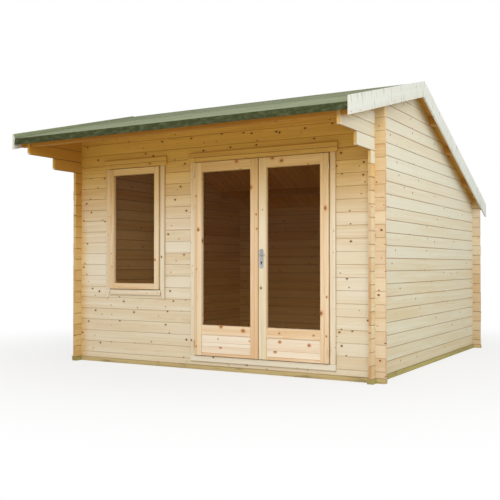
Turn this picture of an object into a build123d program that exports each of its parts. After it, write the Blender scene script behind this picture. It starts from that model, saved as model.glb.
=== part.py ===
from build123d import *
import math
import os

os.makedirs("parts", exist_ok=True)

# Units are millimetres. The origin is on the ground at the centre of the square formed by
# the walls' outer faces. +X is to the right as seen from the door side, +Y to the back.
# "Depth" below is measured backwards from the front wall's outer face, and "height" is
# measured up from the underside of the lowest logs (the top of the base bearers).

# ---- walls
WIDTH = 3410.0            # between the outer faces of the side walls
DEPTH = 3410.0            # between the outer faces of the front and back walls
LOG_T = 28.0              # log thickness
LOG_H = 117.0             # log height, one course
LOG_CHAMFER = 5.0         # bevel on a log's long edges
LOG_PROJ = 95.0           # how far the log ends run past the crossing
REGULAR_COURSES = 17      # side courses below the first corbel log
CORBEL_LOW = 420.0        # reach of the lower corbel log in front of the front wall
CORBEL_TOP = 772.0        # reach of the upper corbel log
CORBEL_R = 24.0           # rounding of the corbel logs' lower front corners
THIN_LOG = 12.0           # a top log that would be lower than this is left out

# ---- base
BASE_H = 40.0             # height of bearers and joists
BEARER_W = 58.0           # width of a bearer
BEARER_OUT = 15.0         # how far a bearer stands out past the wall above it
JOIST_W = 45.0
JOIST_COUNT = 5
FLOOR_T = 18.0
FLOOR_GAP = 6.0           # expansion gap round the floor

# ---- roof
RIDGE_D = 1050.0          # depth of the ridge
RIDGE_H = 2797.0          # height of the felt at the ridge
FRONT_EAVE_D = -846.0     # depth of the front eave
FRONT_EAVE_H = 2265.0     # height of the felt at the front eave
REAR_EAVE_D = 3580.0      # depth of the back eave
REAR_EAVE_H = 1752.0      # height of the felt at the back eave
VERGE = 120.0             # gable overhang, out to the bargeboard's outer face
FELT_T = 4.0
FELT_DROP = 61.0          # felt turned down over an eave
DECK_T = 19.0
BATTEN_D = 36.0           # eave batten behind the turned-down felt
BATTEN_LIFT = 6.0         # batten's underside above the felt's lower edge
PURLIN_W = 45.0
PURLIN_H = 95.0
RIDGE_PURLIN_H = 105.0    # the ridge purlin, measured at its peak
REAR_PURLINS = (1585.0, 2149.0, 2868.0)   # depth of each back purlin's front face
FRONT_PURLIN = -752.0                     # the same for the front purlin
BOARD_T = 18.0            # bargeboard thickness
BOARD_W = 150.0           # bargeboard width
BOARD_PAST = 12.0         # bargeboards' lower ends past the felt at an eave
BOARD_FRONT_H = 2309.0    # height of their top edge at the front eave's end
BOARD_APEX_H = 2805.0     # height of the bargeboards' top edge at the ridge
BOARD_REAR_H = 1762.0     # height of their top edge at the back eave's end

# ---- door: two glazed leaves that open outwards
DOOR_X = 2256.5           # centre, from the left wall's outer face
LEAF_W = 719.0
LEAF_MEET = 9.0           # gap between the leaves
LEAF_BOTTOM = 103.0
LEAF_TOP = 2003.0
LEAF_T = 40.0
LEAF_PROUD = 35.0         # leaf face in front of the wall face
STILE = 82.0
TOP_RAIL = 95.0
PANE_BOTTOM = 400.0       # height of the glass's lower edge
MID_RAIL = 92.0
PANE_DEPTH = 28.0         # glass set back from the leaf face
PANE_T = 4.0
PANEL_DEPTH = 8.0         # lower panel set back from the leaf face
PANEL_T = 14.0
BOTTOM_RAIL = 26.0
STILE_LINE = 44.0         # groove in the outer stile, from its edge
LINE_W = 3.0
LINE_DEPTH = 2.0
KNUCKLE_R = 6.0
KNUCKLE_H = 62.0
HINGE_HEIGHTS = (212.0, 1885.0)
WING_T = 2.0              # hinge plate on the leaf's edge
WING_IN = 16.0            # how far it reaches behind the leaf face
WING_SHORT = 1.0          # its ends inside the knuckle's ends
PLATE_W = 44.0
PLATE_H = 186.0
PLATE_T = 3.0
PLATE_IN = 31.0           # plate centre from the leaf's meeting edge
PLATE_MID = 1050.0        # height of the plate's centre
LEVER_MID = 1088.0        # height of the lever
LEVER_PLAY = 0.5          # gap between the plate and the lever's neck
NECK_R = 8.0
NECK_L = 40.0
GRIP_L = 58.0             # from the neck's centre to the grip's end
GRIP_T = 14.0
GRIP_H = 18.0
GRIP_R = 5.0

# ---- window: one fixed sash
WINDOW_X = 770.0          # centre, from the left wall's outer face
SASH_W = 643.0
SASH_BOTTOM = 741.0
SASH_TOP = 2000.0
SASH_BAR = 58.0
SASH_TOP_BAR = 66.0

# ---- frames round the door and the window
FRAME_GAP = 6.0           # clearance round a leaf or the sash
CASING_W = 55.5           # visible width of the casing beside that gap
CASING_T = 17.0           # casing thickness on the wall face
CORE_IN = 32.0            # from the casing's outer edge to the cut in the wall
STOP_T = 20.0             # how far a stop reaches behind a leaf
STOP_GAP = 6.0            # clearance behind a leaf
HEAD_H = 91.0             # height of the head board
HEAD_T = 24.0
HEAD_OVER = 20.0          # head board past the side casings
HEAD_REBATE = 8.0
HEAD_STEP = 45.5          # height of that rebate
EAR_W = 76.0              # full-height end of the head board
EAR_R = 14.0              # rounding of its lower corner
EAR_DROP = 36.0           # window side casings below the bottom casing

PAST = 1.0                # cuts run this far past the faces they open
SAME = 0.1                # edges this near a place are the ones meant

X0 = -WIDTH / 2
X1 = WIDTH / 2
HALF = LOG_H / 2

BOARD_FRONT_D = FRONT_EAVE_D - BOARD_PAST
BOARD_REAR_D = REAR_EAVE_D + BOARD_PAST
NODES = {}


def opening_top(top):
    """The first joint of the front logs above a leaf or the sash."""
    return HALF + math.ceil((top + FRAME_GAP - HALF) / LOG_H) * LOG_H


def dy(depth):
    """World Y of a depth behind the front wall's outer face."""
    return depth - DEPTH / 2


def hz(height):
    """World Z of a height above the base."""
    return height + BASE_H


def xl(offset):
    """World X of an offset from the left wall's outer face."""
    return offset + X0


def block(xa, xb, ya, yb, za, zb):
    return Pos((xa + xb) / 2, (ya + yb) / 2, (za + zb) / 2) * Box(xb - xa, yb - ya, zb - za)


def along_x(points, xa, xb):
    """Extrude a (y, z) outline from xa to xb."""
    wire = Wire.make_polygon([(xa, y, z) for y, z in points])
    return extrude(Face(wire), amount=xb - xa, dir=(1, 0, 0))


def along_y(points, ya, yb):
    """Extrude an (x, z) outline from ya to yb."""
    wire = Wire.make_polygon([(x, ya, z) for x, z in points])
    return extrude(Face(wire), amount=yb - ya, dir=(0, 1, 0))


def along_z(points, za, zb):
    """Extrude an (x, y) outline from za to zb."""
    wire = Wire.make_polygon([(x, y, za) for x, y in points])
    return extrude(Face(wire), amount=zb - za, dir=(0, 0, 1))


def add(name, *shapes):
    """Collect the solids of one node."""
    for shape in shapes:
        NODES.setdefault(name, []).extend(shape.solids())


def log_section(a, za, zb):
    """Octagon of one log across its run, a being the lower of its two faces."""
    c = LOG_CHAMFER
    b = a + LOG_T
    return [(a + c, za), (b - c, za), (b, za + c), (b, zb - c),
            (b - c, zb), (a + c, zb), (a, zb - c), (a, za + c)]


# ---- roof planes, as height of a layer's top at a depth
FRONT_SLOPE = (RIDGE_H - FRONT_EAVE_H) / (RIDGE_D - FRONT_EAVE_D)
REAR_SLOPE = (RIDGE_H - REAR_EAVE_H) / (REAR_EAVE_D - RIDGE_D)
FRONT_COS = math.cos(math.atan(FRONT_SLOPE))
REAR_COS = math.cos(math.atan(REAR_SLOPE))


def front_top(depth, under=0.0):
    return RIDGE_H - (RIDGE_D - depth) * FRONT_SLOPE - under / FRONT_COS


def rear_top(depth, under=0.0):
    return RIDGE_H - (depth - RIDGE_D) * REAR_SLOPE - under / REAR_COS


def ridge_depth(under):
    """Depth at which the two planes, each lowered by under, meet."""
    rise = under / FRONT_COS - under / REAR_COS
    return RIDGE_D + rise / (FRONT_SLOPE + REAR_SLOPE)


UNDER = FELT_T + DECK_T
ROOM_UNDER_ROOF = along_x(
    [(dy(FRONT_EAVE_D), 0), (dy(REAR_EAVE_D), 0),
     (dy(REAR_EAVE_D), hz(rear_top(REAR_EAVE_D, UNDER))),
     (dy(ridge_depth(UNDER)), hz(rear_top(ridge_depth(UNDER), UNDER))),
     (dy(FRONT_EAVE_D), hz(front_top(FRONT_EAVE_D, UNDER)))],
    X0 - VERGE, X1 + VERGE)

# ---- purlins: their tops follow the deck
BOARD_IN = VERGE - BOARD_T


def purlin(depth, top):
    low = top(depth, UNDER) if top is front_top else top(depth + PURLIN_W, UNDER)
    high = top(depth + PURLIN_W, UNDER) if top is front_top else top(depth, UNDER)
    front, back = (low, high) if top is front_top else (high, low)
    floor = high - PURLIN_H
    return [(dy(depth), hz(floor)), (dy(depth + PURLIN_W), hz(floor)),
            (dy(depth + PURLIN_W), hz(back)), (dy(depth), hz(front))]


def ridge_purlin():
    mid = ridge_depth(UNDER)
    a = mid - PURLIN_W / 2
    b = mid + PURLIN_W / 2
    floor = rear_top(mid, UNDER) - RIDGE_PURLIN_H
    return [(dy(a), hz(floor)), (dy(b), hz(floor)), (dy(b), hz(rear_top(b, UNDER))),
            (dy(mid), hz(rear_top(mid, UNDER))), (dy(a), hz(front_top(a, UNDER)))]


PURLIN_OUTLINES = [purlin(FRONT_PURLIN, front_top), ridge_purlin()]
PURLIN_OUTLINES += [purlin(depth, rear_top) for depth in REAR_PURLINS]
PURLINS = [along_x(outline, X0 - BOARD_IN, X1 + BOARD_IN) for outline in PURLIN_OUTLINES]
add("purlins", *PURLINS)

# ---- openings cut through the front wall
DOOR_EDGE = LEAF_W + LEAF_MEET / 2 + FRAME_GAP + CASING_W
WINDOW_EDGE = SASH_W / 2 + FRAME_GAP + CASING_W
WINDOW_CUT = SASH_BOTTOM - FRAME_GAP - CORE_IN
DOOR_HOLE = block(xl(DOOR_X - DOOR_EDGE + CORE_IN), xl(DOOR_X + DOOR_EDGE - CORE_IN),
                  dy(-PAST), dy(LOG_T + PAST), hz(HALF), hz(opening_top(LEAF_TOP)))
WINDOW_HOLE = block(xl(WINDOW_X - WINDOW_EDGE + CORE_IN), xl(WINDOW_X + WINDOW_EDGE - CORE_IN),
                    dy(-PAST), dy(LOG_T + PAST), hz(WINDOW_CUT), hz(opening_top(SASH_TOP)))


# ---- logs: each crossing leaves the middle half of every log, so the courses of the
# front and back walls, half a log higher, fill the side walls' notches exactly
def notches(za, zb, low, spans, across):
    """Boxes cut from a log's bottom and top where it crosses other walls."""
    cuts = []
    for a, b in spans:
        if low:
            cuts.append(across(a, b, hz(za - PAST), hz(za + low)))
        cuts.append(across(a, b, hz(zb - LOG_H / 4), hz(zb + PAST)))
    return cuts


def side_log(x, course):
    """One side-wall log, its outer or inner face at x, lying along Y."""
    za = course * LOG_H
    zb = za + LOG_H
    front = LOG_PROJ
    if course == REGULAR_COURSES:
        front = CORBEL_LOW
    if course == REGULAR_COURSES + 1:
        front = CORBEL_TOP
    if course > REGULAR_COURSES + 1:
        front = -FRONT_PURLIN - PURLIN_W
    log = along_y(log_section(x, hz(za), hz(zb)), dy(-front), dy(DEPTH + LOG_PROJ))
    spans = ((dy(0), dy(LOG_T)), (dy(DEPTH - LOG_T), dy(DEPTH)))
    for cut in notches(za, zb, LOG_H / 4, spans,
                       lambda a, b, z0, z1: block(x - PAST, x + LOG_T + PAST, a, b, z0, z1)):
        log -= cut
    if REGULAR_COURSES <= course <= REGULAR_COURSES + 1:
        lower = log.edges().filter_by(Axis.X).filter_by(
            lambda e: abs(e.center().Y - dy(-front)) < SAME and abs(e.center().Z - hz(za)) < SAME)
        log = fillet(lower, CORBEL_R)
    if zb > rear_top(DEPTH + LOG_PROJ, UNDER):
        log = log & ROOM_UNDER_ROOF
        for bar in PURLINS:
            log -= bar
    return log


def cross_log(depth, za, zb):
    """One front or back wall log lying along X."""
    log = along_x(log_section(dy(depth), hz(za), hz(zb)), X0 - LOG_PROJ, X1 + LOG_PROJ)
    low = LOG_H / 4 if za > 0 else 0.0
    spans = ((X0, X0 + LOG_T), (X1 - LOG_T, X1))
    for cut in notches(za, zb, low, spans,
                       lambda a, b, z0, z1: block(a, b, dy(depth - PAST), dy(depth + LOG_T + PAST), z0, z1)):
        log -= cut
    return log


SIDE_TOP = rear_top(ridge_depth(UNDER), UNDER)
for course in range(int(SIDE_TOP // LOG_H) + 1):
    letter = "ab"[course % 2]
    add("left_logs_" + letter, side_log(X0, course))
    add("right_logs_" + letter, side_log(X1 - LOG_T, course))

for wall, depth, top in (("front", 0.0, front_top(0.0, UNDER)),
                         ("back", DEPTH - LOG_T, rear_top(DEPTH, UNDER))):
    za = 0.0
    zb = HALF
    index = 0
    while za < top - THIN_LOG:
        log = cross_log(depth, za, zb)
        if wall == "front":
            log -= DOOR_HOLE
            log -= WINDOW_HOLE
        if zb > top:
            log = log & ROOM_UNDER_ROOF
        add(wall + "_logs_" + "ab"[index % 2], log)
        za = zb
        zb = za + LOG_H
        index += 1

# ---- base bearers, halved where they cross under the corners
REACH = LOG_PROJ


def bearer_y(x_out, sign):
    xa, xb = sorted((x_out, x_out - sign * BEARER_W))
    bar = block(xa, xb, dy(-REACH), dy(DEPTH + REACH), 0, BASE_H)
    for d in (-BEARER_OUT, DEPTH + BEARER_OUT - BEARER_W):
        bar -= block(xa - PAST, xb + PAST, dy(d), dy(d + BEARER_W), BASE_H / 2, BASE_H + PAST)
    return bar


def bearer_x(depth):
    bar = block(X0 - REACH, X1 + REACH, dy(depth), dy(depth + BEARER_W), 0, BASE_H)
    for xa in (X0 - BEARER_OUT, X1 + BEARER_OUT - BEARER_W):
        bar -= block(xa, xa + BEARER_W, dy(depth - PAST), dy(depth + BEARER_W + PAST), -PAST, BASE_H / 2)
    return bar


add("side_bearers", bearer_y(X0 - BEARER_OUT, -1), bearer_y(X1 + BEARER_OUT, 1))
add("cross_bearers", bearer_x(-BEARER_OUT), bearer_x(DEPTH + BEARER_OUT - BEARER_W))

joist_ya = dy(BEARER_W - BEARER_OUT)
joist_yb = dy(DEPTH + BEARER_OUT - BEARER_W)
span = WIDTH / (JOIST_COUNT + 1)
for i in range(JOIST_COUNT):
    x = X0 + span * (i + 1)
    add("floor_joists", block(x - JOIST_W / 2, x + JOIST_W / 2, joist_ya, joist_yb, 0, BASE_H))

inner = LOG_T + FLOOR_GAP
add("floor", block(X0 + inner, X1 - inner, dy(inner), dy(DEPTH - inner), hz(0), hz(FLOOR_T)))

# ---- roof deck, felt and eave battens, all between the bargeboards
DECK_XA = X0 - BOARD_IN
DECK_XB = X1 + BOARD_IN


def layer(top, eave, upper, lower):
    """Outline of a layer from its eave to the plane of the ridge."""
    a = ridge_depth(upper)
    b = ridge_depth(lower)
    return [(dy(eave), hz(top(eave, upper))), (dy(a), hz(top(a, upper))),
            (dy(b), hz(top(b, lower))), (dy(eave), hz(top(eave, lower)))]


front_in = FRONT_EAVE_D + FELT_T
rear_in = REAR_EAVE_D - FELT_T
add("roof_deck_front", along_x(layer(front_top, front_in, FELT_T, UNDER), DECK_XA, DECK_XB))
add("roof_deck_back", along_x(layer(rear_top, rear_in, FELT_T, UNDER), DECK_XA, DECK_XB))
add("felt_front", along_x(layer(front_top, FRONT_EAVE_D, 0.0, FELT_T), DECK_XA, DECK_XB))
add("felt_back", along_x(layer(rear_top, REAR_EAVE_D, 0.0, FELT_T), DECK_XA, DECK_XB))

for top, eave, step in ((front_top, FRONT_EAVE_D, 1), (rear_top, REAR_EAVE_D, -1)):
    for name, start, thick, upper, lift in (("felt_flaps", 0.0, FELT_T, FELT_T, 0.0),
                                            ("eave_battens", FELT_T, BATTEN_D, UNDER, BATTEN_LIFT)):
        a, b = sorted((eave + step * start, eave + step * (start + thick)))
        low = hz(top(eave) - FELT_DROP + lift)
        strip = [(dy(a), low), (dy(b), low), (dy(b), hz(top(b, upper))), (dy(a), hz(top(a, upper)))]
        add(name, along_x(strip, DECK_XA, DECK_XB))

# ---- bargeboards, cut plumb at both ends
for side, ends in (("front", ((BOARD_FRONT_D, BOARD_FRONT_H), (RIDGE_D, BOARD_APEX_H))),
                   ("back", ((RIDGE_D, BOARD_APEX_H), (BOARD_REAR_D, BOARD_REAR_H)))):
    (da, ha), (db, hb) = ends
    drop = BOARD_W / math.cos(math.atan((hb - ha) / (db - da)))
    outline = [(dy(da), hz(ha - drop)), (dy(db), hz(hb - drop)), (dy(db), hz(hb)), (dy(da), hz(ha))]
    add("bargeboards_" + side,
        along_x(outline, X0 - VERGE, X0 - BOARD_IN), along_x(outline, X1 + BOARD_IN, X1 + VERGE))


# ---- frame round an opening: side jambs clasp the logs, head and sill lie between them
def jamb(edge, sign, za, zb):
    """Side jamb; edge is the casing's outer edge and sign points to the opening."""
    s = sign
    gap = edge + s * CASING_W
    core = edge + s * CORE_IN
    points = [(edge, -CASING_T), (gap, -CASING_T), (gap, LOG_T + CASING_T),
              (edge, LOG_T + CASING_T), (edge, LOG_T), (core, LOG_T), (core, 0), (edge, 0)]
    return along_z([(xl(x), dy(d)) for x, d in points], hz(za), hz(zb))


def rail(xa, xb, edge, sign, core, inset=0.0):
    """Sill; edge is its outer height, sign points to the opening, inset shortens its face."""
    gap = edge + sign * CASING_W
    points = [(-CASING_T, edge), (-CASING_T, gap), (LOG_T + CASING_T, gap),
              (LOG_T + CASING_T, edge), (LOG_T, edge), (LOG_T, core), (0, core), (0, edge)]
    member = along_x([(dy(d), hz(z)) for d, z in points], xl(xa), xl(xb))
    low, high = sorted((edge, gap))
    for end, s in ((xa, 1), (xb, -1)):
        a, b = sorted((end - s * PAST, end + s * CORE_IN))
        member -= block(xl(a), xl(b), dy(0), dy(LOG_T), hz(low - CASING_W), hz(high + PAST))
        if inset:
            a, b = sorted((end - s * PAST, end + s * inset))
            member -= block(xl(a), xl(b), dy(-CASING_T - PAST), dy(0), hz(low - PAST), hz(high + PAST))
    return member


def head_board(centre, half, bottom):
    """Board over an opening, with rounded lower corners and a rebate between its ears."""
    reach = half + HEAD_OVER
    board = block(xl(centre - reach), xl(centre + reach), dy(-HEAD_T), dy(0),
                  hz(bottom), hz(bottom + HEAD_H))
    board -= block(xl(centre - reach + EAR_W), xl(centre + reach - EAR_W),
                   dy(-HEAD_T - PAST), dy(HEAD_REBATE - HEAD_T), hz(bottom - PAST), hz(bottom + HEAD_STEP))
    lower = board.edges().filter_by(Axis.Y).filter_by(
        lambda e: abs(e.center().Z - hz(bottom)) < SAME
        and abs(abs(e.center().X - xl(centre)) - reach) < SAME)
    return fillet(lower, EAR_R)


def frame(name, centre, half, bottom, top):
    """Jambs, head, sill and stops; bottom and top are those of the leaf or sash."""
    sill_top = bottom - FRAME_GAP
    sill_edge = sill_top - CASING_W
    head_low = top + FRAME_GAP
    left = centre - half
    right = centre + half
    if name == "window":
        ends = [(left, 1), (right, -1)]
        for edge, s in ends:
            inner_edge = edge + s * CASING_W
            lowest = sill_edge - EAR_DROP
            point = (edge + inner_edge) / 2
            tip = CASING_W / 2
            board = [(edge, sill_top), (edge, lowest + tip), (point, lowest),
                     (inner_edge, lowest + tip), (inner_edge, sill_top)]
            add(name + "_casing_ends",
                along_y([(xl(x), hz(z)) for x, z in board], dy(-CASING_T), dy(0)))
        sill = rail(left, right, sill_edge, 1, WINDOW_CUT, CASING_W)
    else:
        sill = rail(left, right, sill_edge, 1, HALF)
    add(name + "_jambs", jamb(left, 1, sill_top, head_low), jamb(right, -1, sill_top, head_low))
    add(name + "_head_and_sill", sill,
        block(xl(left + CORE_IN), xl(right - CORE_IN), dy(0), dy(LOG_T + CASING_T),
              hz(head_low), hz(opening_top(top))))
    add(name + "_head_board", head_board(centre, half, head_low))
    back = LEAF_T - LEAF_PROUD + STOP_GAP
    for edge, s in ((left + CASING_W, 1), (right - CASING_W, -1)):
        xa, xb = sorted((edge, edge + s * (FRAME_GAP + STOP_T)))
        add(name + "_stops", block(xl(xa), xl(xb), dy(back), dy(LOG_T + CASING_T),
                                   hz(sill_top), hz(head_low)))
    add(name + "_cross_stops",
        block(xl(left + CASING_W + FRAME_GAP + STOP_T), xl(right - CASING_W - FRAME_GAP - STOP_T),
              dy(back), dy(LOG_T + CASING_T), hz(head_low - FRAME_GAP - STOP_T), hz(head_low)),
        block(xl(left + CASING_W + FRAME_GAP + STOP_T), xl(right - CASING_W - FRAME_GAP - STOP_T),
              dy(back), dy(LOG_T + CASING_T), hz(sill_top), hz(sill_top + FRAME_GAP + STOP_T)))


frame("door", DOOR_X, DOOR_EDGE, LEAF_BOTTOM, LEAF_TOP)
frame("window", WINDOW_X, WINDOW_EDGE, SASH_BOTTOM, SASH_TOP)

# ---- window sash and pane
FACE = -LEAF_PROUD
sash_a = WINDOW_X - SASH_W / 2
sash_b = WINDOW_X + SASH_W / 2
pane = (xl(sash_a + SASH_BAR), xl(sash_b - SASH_BAR))
sash = block(xl(sash_a), xl(sash_b), dy(FACE), dy(FACE + LEAF_T), hz(SASH_BOTTOM), hz(SASH_TOP))
sash -= block(pane[0], pane[1], dy(FACE - PAST), dy(FACE + LEAF_T + PAST),
              hz(SASH_BOTTOM + SASH_BAR), hz(SASH_TOP - SASH_TOP_BAR))
add("window_sash", sash)
add("window_pane", block(pane[0], pane[1], dy(FACE + PANE_DEPTH), dy(FACE + PANE_DEPTH + PANE_T),
                         hz(SASH_BOTTOM + SASH_BAR), hz(SASH_TOP - SASH_TOP_BAR)))


# ---- door leaves
def leaf(name, outer, sign):
    """One leaf; outer is its hinge edge and sign points to the meeting edge."""
    s = sign
    meet = outer + s * LEAF_W
    xa, xb = sorted((outer, meet))
    ia, ib = xa + STILE, xb - STILE
    body = block(xl(xa), xl(xb), dy(FACE), dy(FACE + LEAF_T), hz(LEAF_BOTTOM), hz(LEAF_TOP))
    for bottom, top in ((PANE_BOTTOM, LEAF_TOP - TOP_RAIL),
                        (LEAF_BOTTOM + BOTTOM_RAIL, PANE_BOTTOM - MID_RAIL)):
        body -= block(xl(ia), xl(ib), dy(FACE - PAST), dy(FACE + LEAF_T + PAST), hz(bottom), hz(top))
    line = outer + s * STILE_LINE
    body -= block(xl(line - LINE_W / 2), xl(line + LINE_W / 2), dy(FACE - PAST), dy(FACE + LINE_DEPTH),
                  hz(LEAF_BOTTOM - PAST), hz(LEAF_TOP + PAST))
    add(name + "_leaf", body)
    add(name + "_pane", block(xl(ia), xl(ib), dy(FACE + PANE_DEPTH), dy(FACE + PANE_DEPTH + PANE_T),
                              hz(PANE_BOTTOM), hz(LEAF_TOP - TOP_RAIL)))
    add(name + "_panel", block(xl(ia), xl(ib), dy(FACE + PANEL_DEPTH), dy(FACE + PANEL_DEPTH + PANEL_T),
                               hz(LEAF_BOTTOM + BOTTOM_RAIL), hz(PANE_BOTTOM - MID_RAIL)))
    for height in HINGE_HEIGHTS:
        axis_x = xl(outer - s * FRAME_GAP / 2)
        axis_y = dy(FACE - KNUCKLE_R)
        knuckle = Pos(axis_x, axis_y, hz(height)) * Cylinder(KNUCKLE_R, KNUCKLE_H)
        wa, wb = sorted((xl(outer - s * WING_T), xl(outer)))
        wing = block(wa, wb, axis_y, dy(FACE + WING_IN), hz(height - KNUCKLE_H / 2 + WING_SHORT),
                     hz(height + KNUCKLE_H / 2 - WING_SHORT))
        add(name + "_hinges", knuckle + wing)


leaf("left", DOOR_X - LEAF_MEET / 2 - LEAF_W, 1)
leaf("right", DOOR_X + LEAF_MEET / 2 + LEAF_W, -1)

# ---- lock plate and lever on the right leaf
plate_x = xl(DOOR_X + LEAF_MEET / 2 + PLATE_IN)
plate_front = dy(FACE - PLATE_T)
plate_low = hz(PLATE_MID - PLATE_H / 2 + PLATE_W / 2)
plate_high = hz(PLATE_MID + PLATE_H / 2 - PLATE_W / 2)
plate = block(plate_x - PLATE_W / 2, plate_x + PLATE_W / 2, plate_front, dy(FACE), plate_low, plate_high)
for z in (plate_low, plate_high):
    plate += Pos(plate_x, (plate_front + dy(FACE)) / 2, z) * Rot(90, 0, 0) * Cylinder(PLATE_W / 2, PLATE_T)
add("lock_plate", plate)

neck_back = plate_front - LEVER_PLAY
neck_front = neck_back - NECK_L
neck = Pos(plate_x, (neck_back + neck_front) / 2, hz(LEVER_MID)) * Rot(90, 0, 0) * Cylinder(NECK_R, NECK_L)
grip = block(plate_x - NECK_R, plate_x + GRIP_L, neck_front - GRIP_T / 2, neck_front + GRIP_T / 2,
             hz(LEVER_MID - GRIP_H / 2), hz(LEVER_MID + GRIP_H / 2))
grip = fillet(grip.edges().filter_by(Axis.X), GRIP_R)
add("lever", neck + grip)

for name, solids in NODES.items():
    export_step(Compound(children=list(solids)), "parts/" + name + ".step")
print(len(NODES), "nodes", sum(len(s) for s in NODES.values()), "solids")
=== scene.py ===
import math
import random

import bmesh
import bpy
from bpy.props import FloatProperty, FloatVectorProperty, PointerProperty
from mathutils import Matrix, Vector, noise


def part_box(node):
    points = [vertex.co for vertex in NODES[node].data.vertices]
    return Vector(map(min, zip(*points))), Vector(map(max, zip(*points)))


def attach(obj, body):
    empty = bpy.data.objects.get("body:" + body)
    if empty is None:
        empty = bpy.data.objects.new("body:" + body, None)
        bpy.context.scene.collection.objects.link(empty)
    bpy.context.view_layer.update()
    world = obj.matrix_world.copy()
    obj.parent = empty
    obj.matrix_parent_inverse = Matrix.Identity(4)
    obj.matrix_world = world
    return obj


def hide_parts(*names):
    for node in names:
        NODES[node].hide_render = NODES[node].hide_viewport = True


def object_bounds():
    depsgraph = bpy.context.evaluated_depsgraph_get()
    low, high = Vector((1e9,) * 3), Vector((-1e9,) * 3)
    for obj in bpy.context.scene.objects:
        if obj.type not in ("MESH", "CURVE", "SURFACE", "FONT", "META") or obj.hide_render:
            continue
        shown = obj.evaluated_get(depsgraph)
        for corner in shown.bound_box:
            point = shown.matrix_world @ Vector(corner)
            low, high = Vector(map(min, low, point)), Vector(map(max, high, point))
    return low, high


bl_info = {
    "name": "Log Cabin Finish",
    "version": (1, 0, 0),
    "blender": (4, 5, 0),
    "location": "View3D > Sidebar > Log Cabin",
    "description": "Dresses the log cabin's frame with timber, felt, glass and fittings",
    "category": "Object",
}

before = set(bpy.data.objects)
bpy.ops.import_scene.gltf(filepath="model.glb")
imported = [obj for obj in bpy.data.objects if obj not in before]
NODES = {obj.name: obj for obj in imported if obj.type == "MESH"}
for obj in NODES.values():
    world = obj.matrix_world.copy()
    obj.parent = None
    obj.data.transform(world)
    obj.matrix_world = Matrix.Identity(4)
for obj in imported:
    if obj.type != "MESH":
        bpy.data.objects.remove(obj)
CAD_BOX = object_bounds()

X = Vector((1, 0, 0))
Y = Vector((0, 1, 0))
Z = Vector((0, 0, 1))
ROOM = -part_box("front_logs_a")[0].y
LOG_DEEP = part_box("front_logs_a")[1].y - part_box("front_logs_a")[0].y


def tone(red, green, blue):
    """A colour given in display values from 0 to 255, as linear light."""
    def linear(value):
        share = value / 255
        return share / 12.92 if share <= 0.04045 else ((share + 0.055) / 1.055) ** 2.4
    return linear(red), linear(green), linear(blue)


def colour(name, description, red, green, blue):
    return FloatVectorProperty(name=name, description=description, subtype="COLOR", size=3,
                               min=0, max=1, default=tone(red, green, blue))


def length(name, description, default, low=0.0, high=1.0):
    return FloatProperty(name=name, description=description, default=default, min=low, max=high,
                         unit="LENGTH", precision=4)


# ------------------------------------------------------------------ settings
class CabinTimber(bpy.types.PropertyGroup):
    """Colours and figure of the cabin's timber."""
    arris: length("Log arris", "Rounding of the logs' edges", 0.0014)
    ragged: length("Ragged ends", "How much shorter a projecting log end may be", 0.005, 0, 0.02)
    board_arris: length("Board arris", "Rounding of planed boards' edges", 0.002)
    ring_width: length("Ring width", "Width of one year's growth", 0.0042, 0.001, 0.02)
    sapwood: colour("Sapwood", "Bleached pale wood of the walls", 234, 223, 198)
    heartwood: colour("Heartwood", "Honey wood of the walls", 220, 196, 155)
    side_sapwood: colour("Side sapwood", "Pale wood of the side and back walls", 217, 212, 188)
    side_heartwood: colour("Side heartwood", "Grain of the side and back walls", 208, 187, 143)
    # Sheltered wood and its grain: partly drier timber, partly painted shade under the eave, in nooks and
    # below the verges
    fresh_and_shaded: colour("Sheltered wood", "Fresh wood that the eave keeps dry", 224, 181, 78)
    fresh_and_shaded_grain: colour("Sheltered grain", "Grain of the wood under the eave", 196, 146, 54)
    inner: colour("Inner wood", "Wood of the room", 240, 204, 132)
    inner_grain: colour("Inner grain", "Grain of the wood in the room", 224, 174, 100)
    end_pale: colour("Pale end grain", "Sawn ends of sappy logs", 226, 197, 149)
    end_brown: colour("Brown end grain", "Sawn ends of resinous logs", 190, 134, 78)
    seam: colour("Joint", "Shadowed edge of a log in the joint", 146, 100, 52)
    seam_width: length("Joint width", "Darkened edge of a log", 0.0042, 0.001, 0.02)
    # Pale timber: painted light on the door sill and the purlins' undersides; the side walls also grow paler
    # towards it higher up
    pale_and_lit: colour("Bleached timber", "Timber that sun and rain have bleached", 236, 232, 214)
    knot_heart: colour("Knot heart", "Inside of a knot", 94, 54, 26)
    knot_halo: colour("Knot halo", "Resinous wood round a knot", 208, 140, 72)
    knot_ring: colour("Knot ring", "Bark ring round a knot", 58, 32, 14)
    # Heights over which the painted eave shade, with the drier wood's honey, comes in
    shelter_and_shade_low: length("Shelter starts", "Height where the eave's shelter starts", 1.2, 0, 3)
    shelter_and_shade_high: length("Shelter full", "Height where the shelter is full", 2.2, 0, 3)
    # How far below the roof the side walls take painted shade from the verge, as honey
    verge_shade_reach: length("Verge shelter", "How far below the roof the side walls stay honey", 0.17, 0, 1)
    # Width of the strip of painted shade beside the left corner, where the corbel shades the wall
    corner: length("Sheltered corner", "Width of the dry strip beside the left corner", 0.16, 0, 1)


class CabinBase(bpy.types.PropertyGroup):
    """Base bearers and floor."""
    treated: colour("Treated wood", "Pressure-treated front and back bearers", 204, 182, 130)
    treated_dark: colour("Treated wood, dark", "Darker grain of the bearers", 166, 146, 94)
    treated_side: colour("Treated side bearer", "Greener side bearers and joists", 175, 163, 98)
    treated_side_dark: colour("Treated side bearer, dark", "Grain of the side bearers", 140, 130, 68)
    grime_and_hole_shade: colour("Grime", "Damp marks on the bearers", 112, 96, 46)
    treated_end: colour("Treated end grain", "Sawn ends of the bearers", 172, 160, 106)
    floor_board: length("Floor board", "Width of one floor board", 0.12, 0.05, 0.4)


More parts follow.
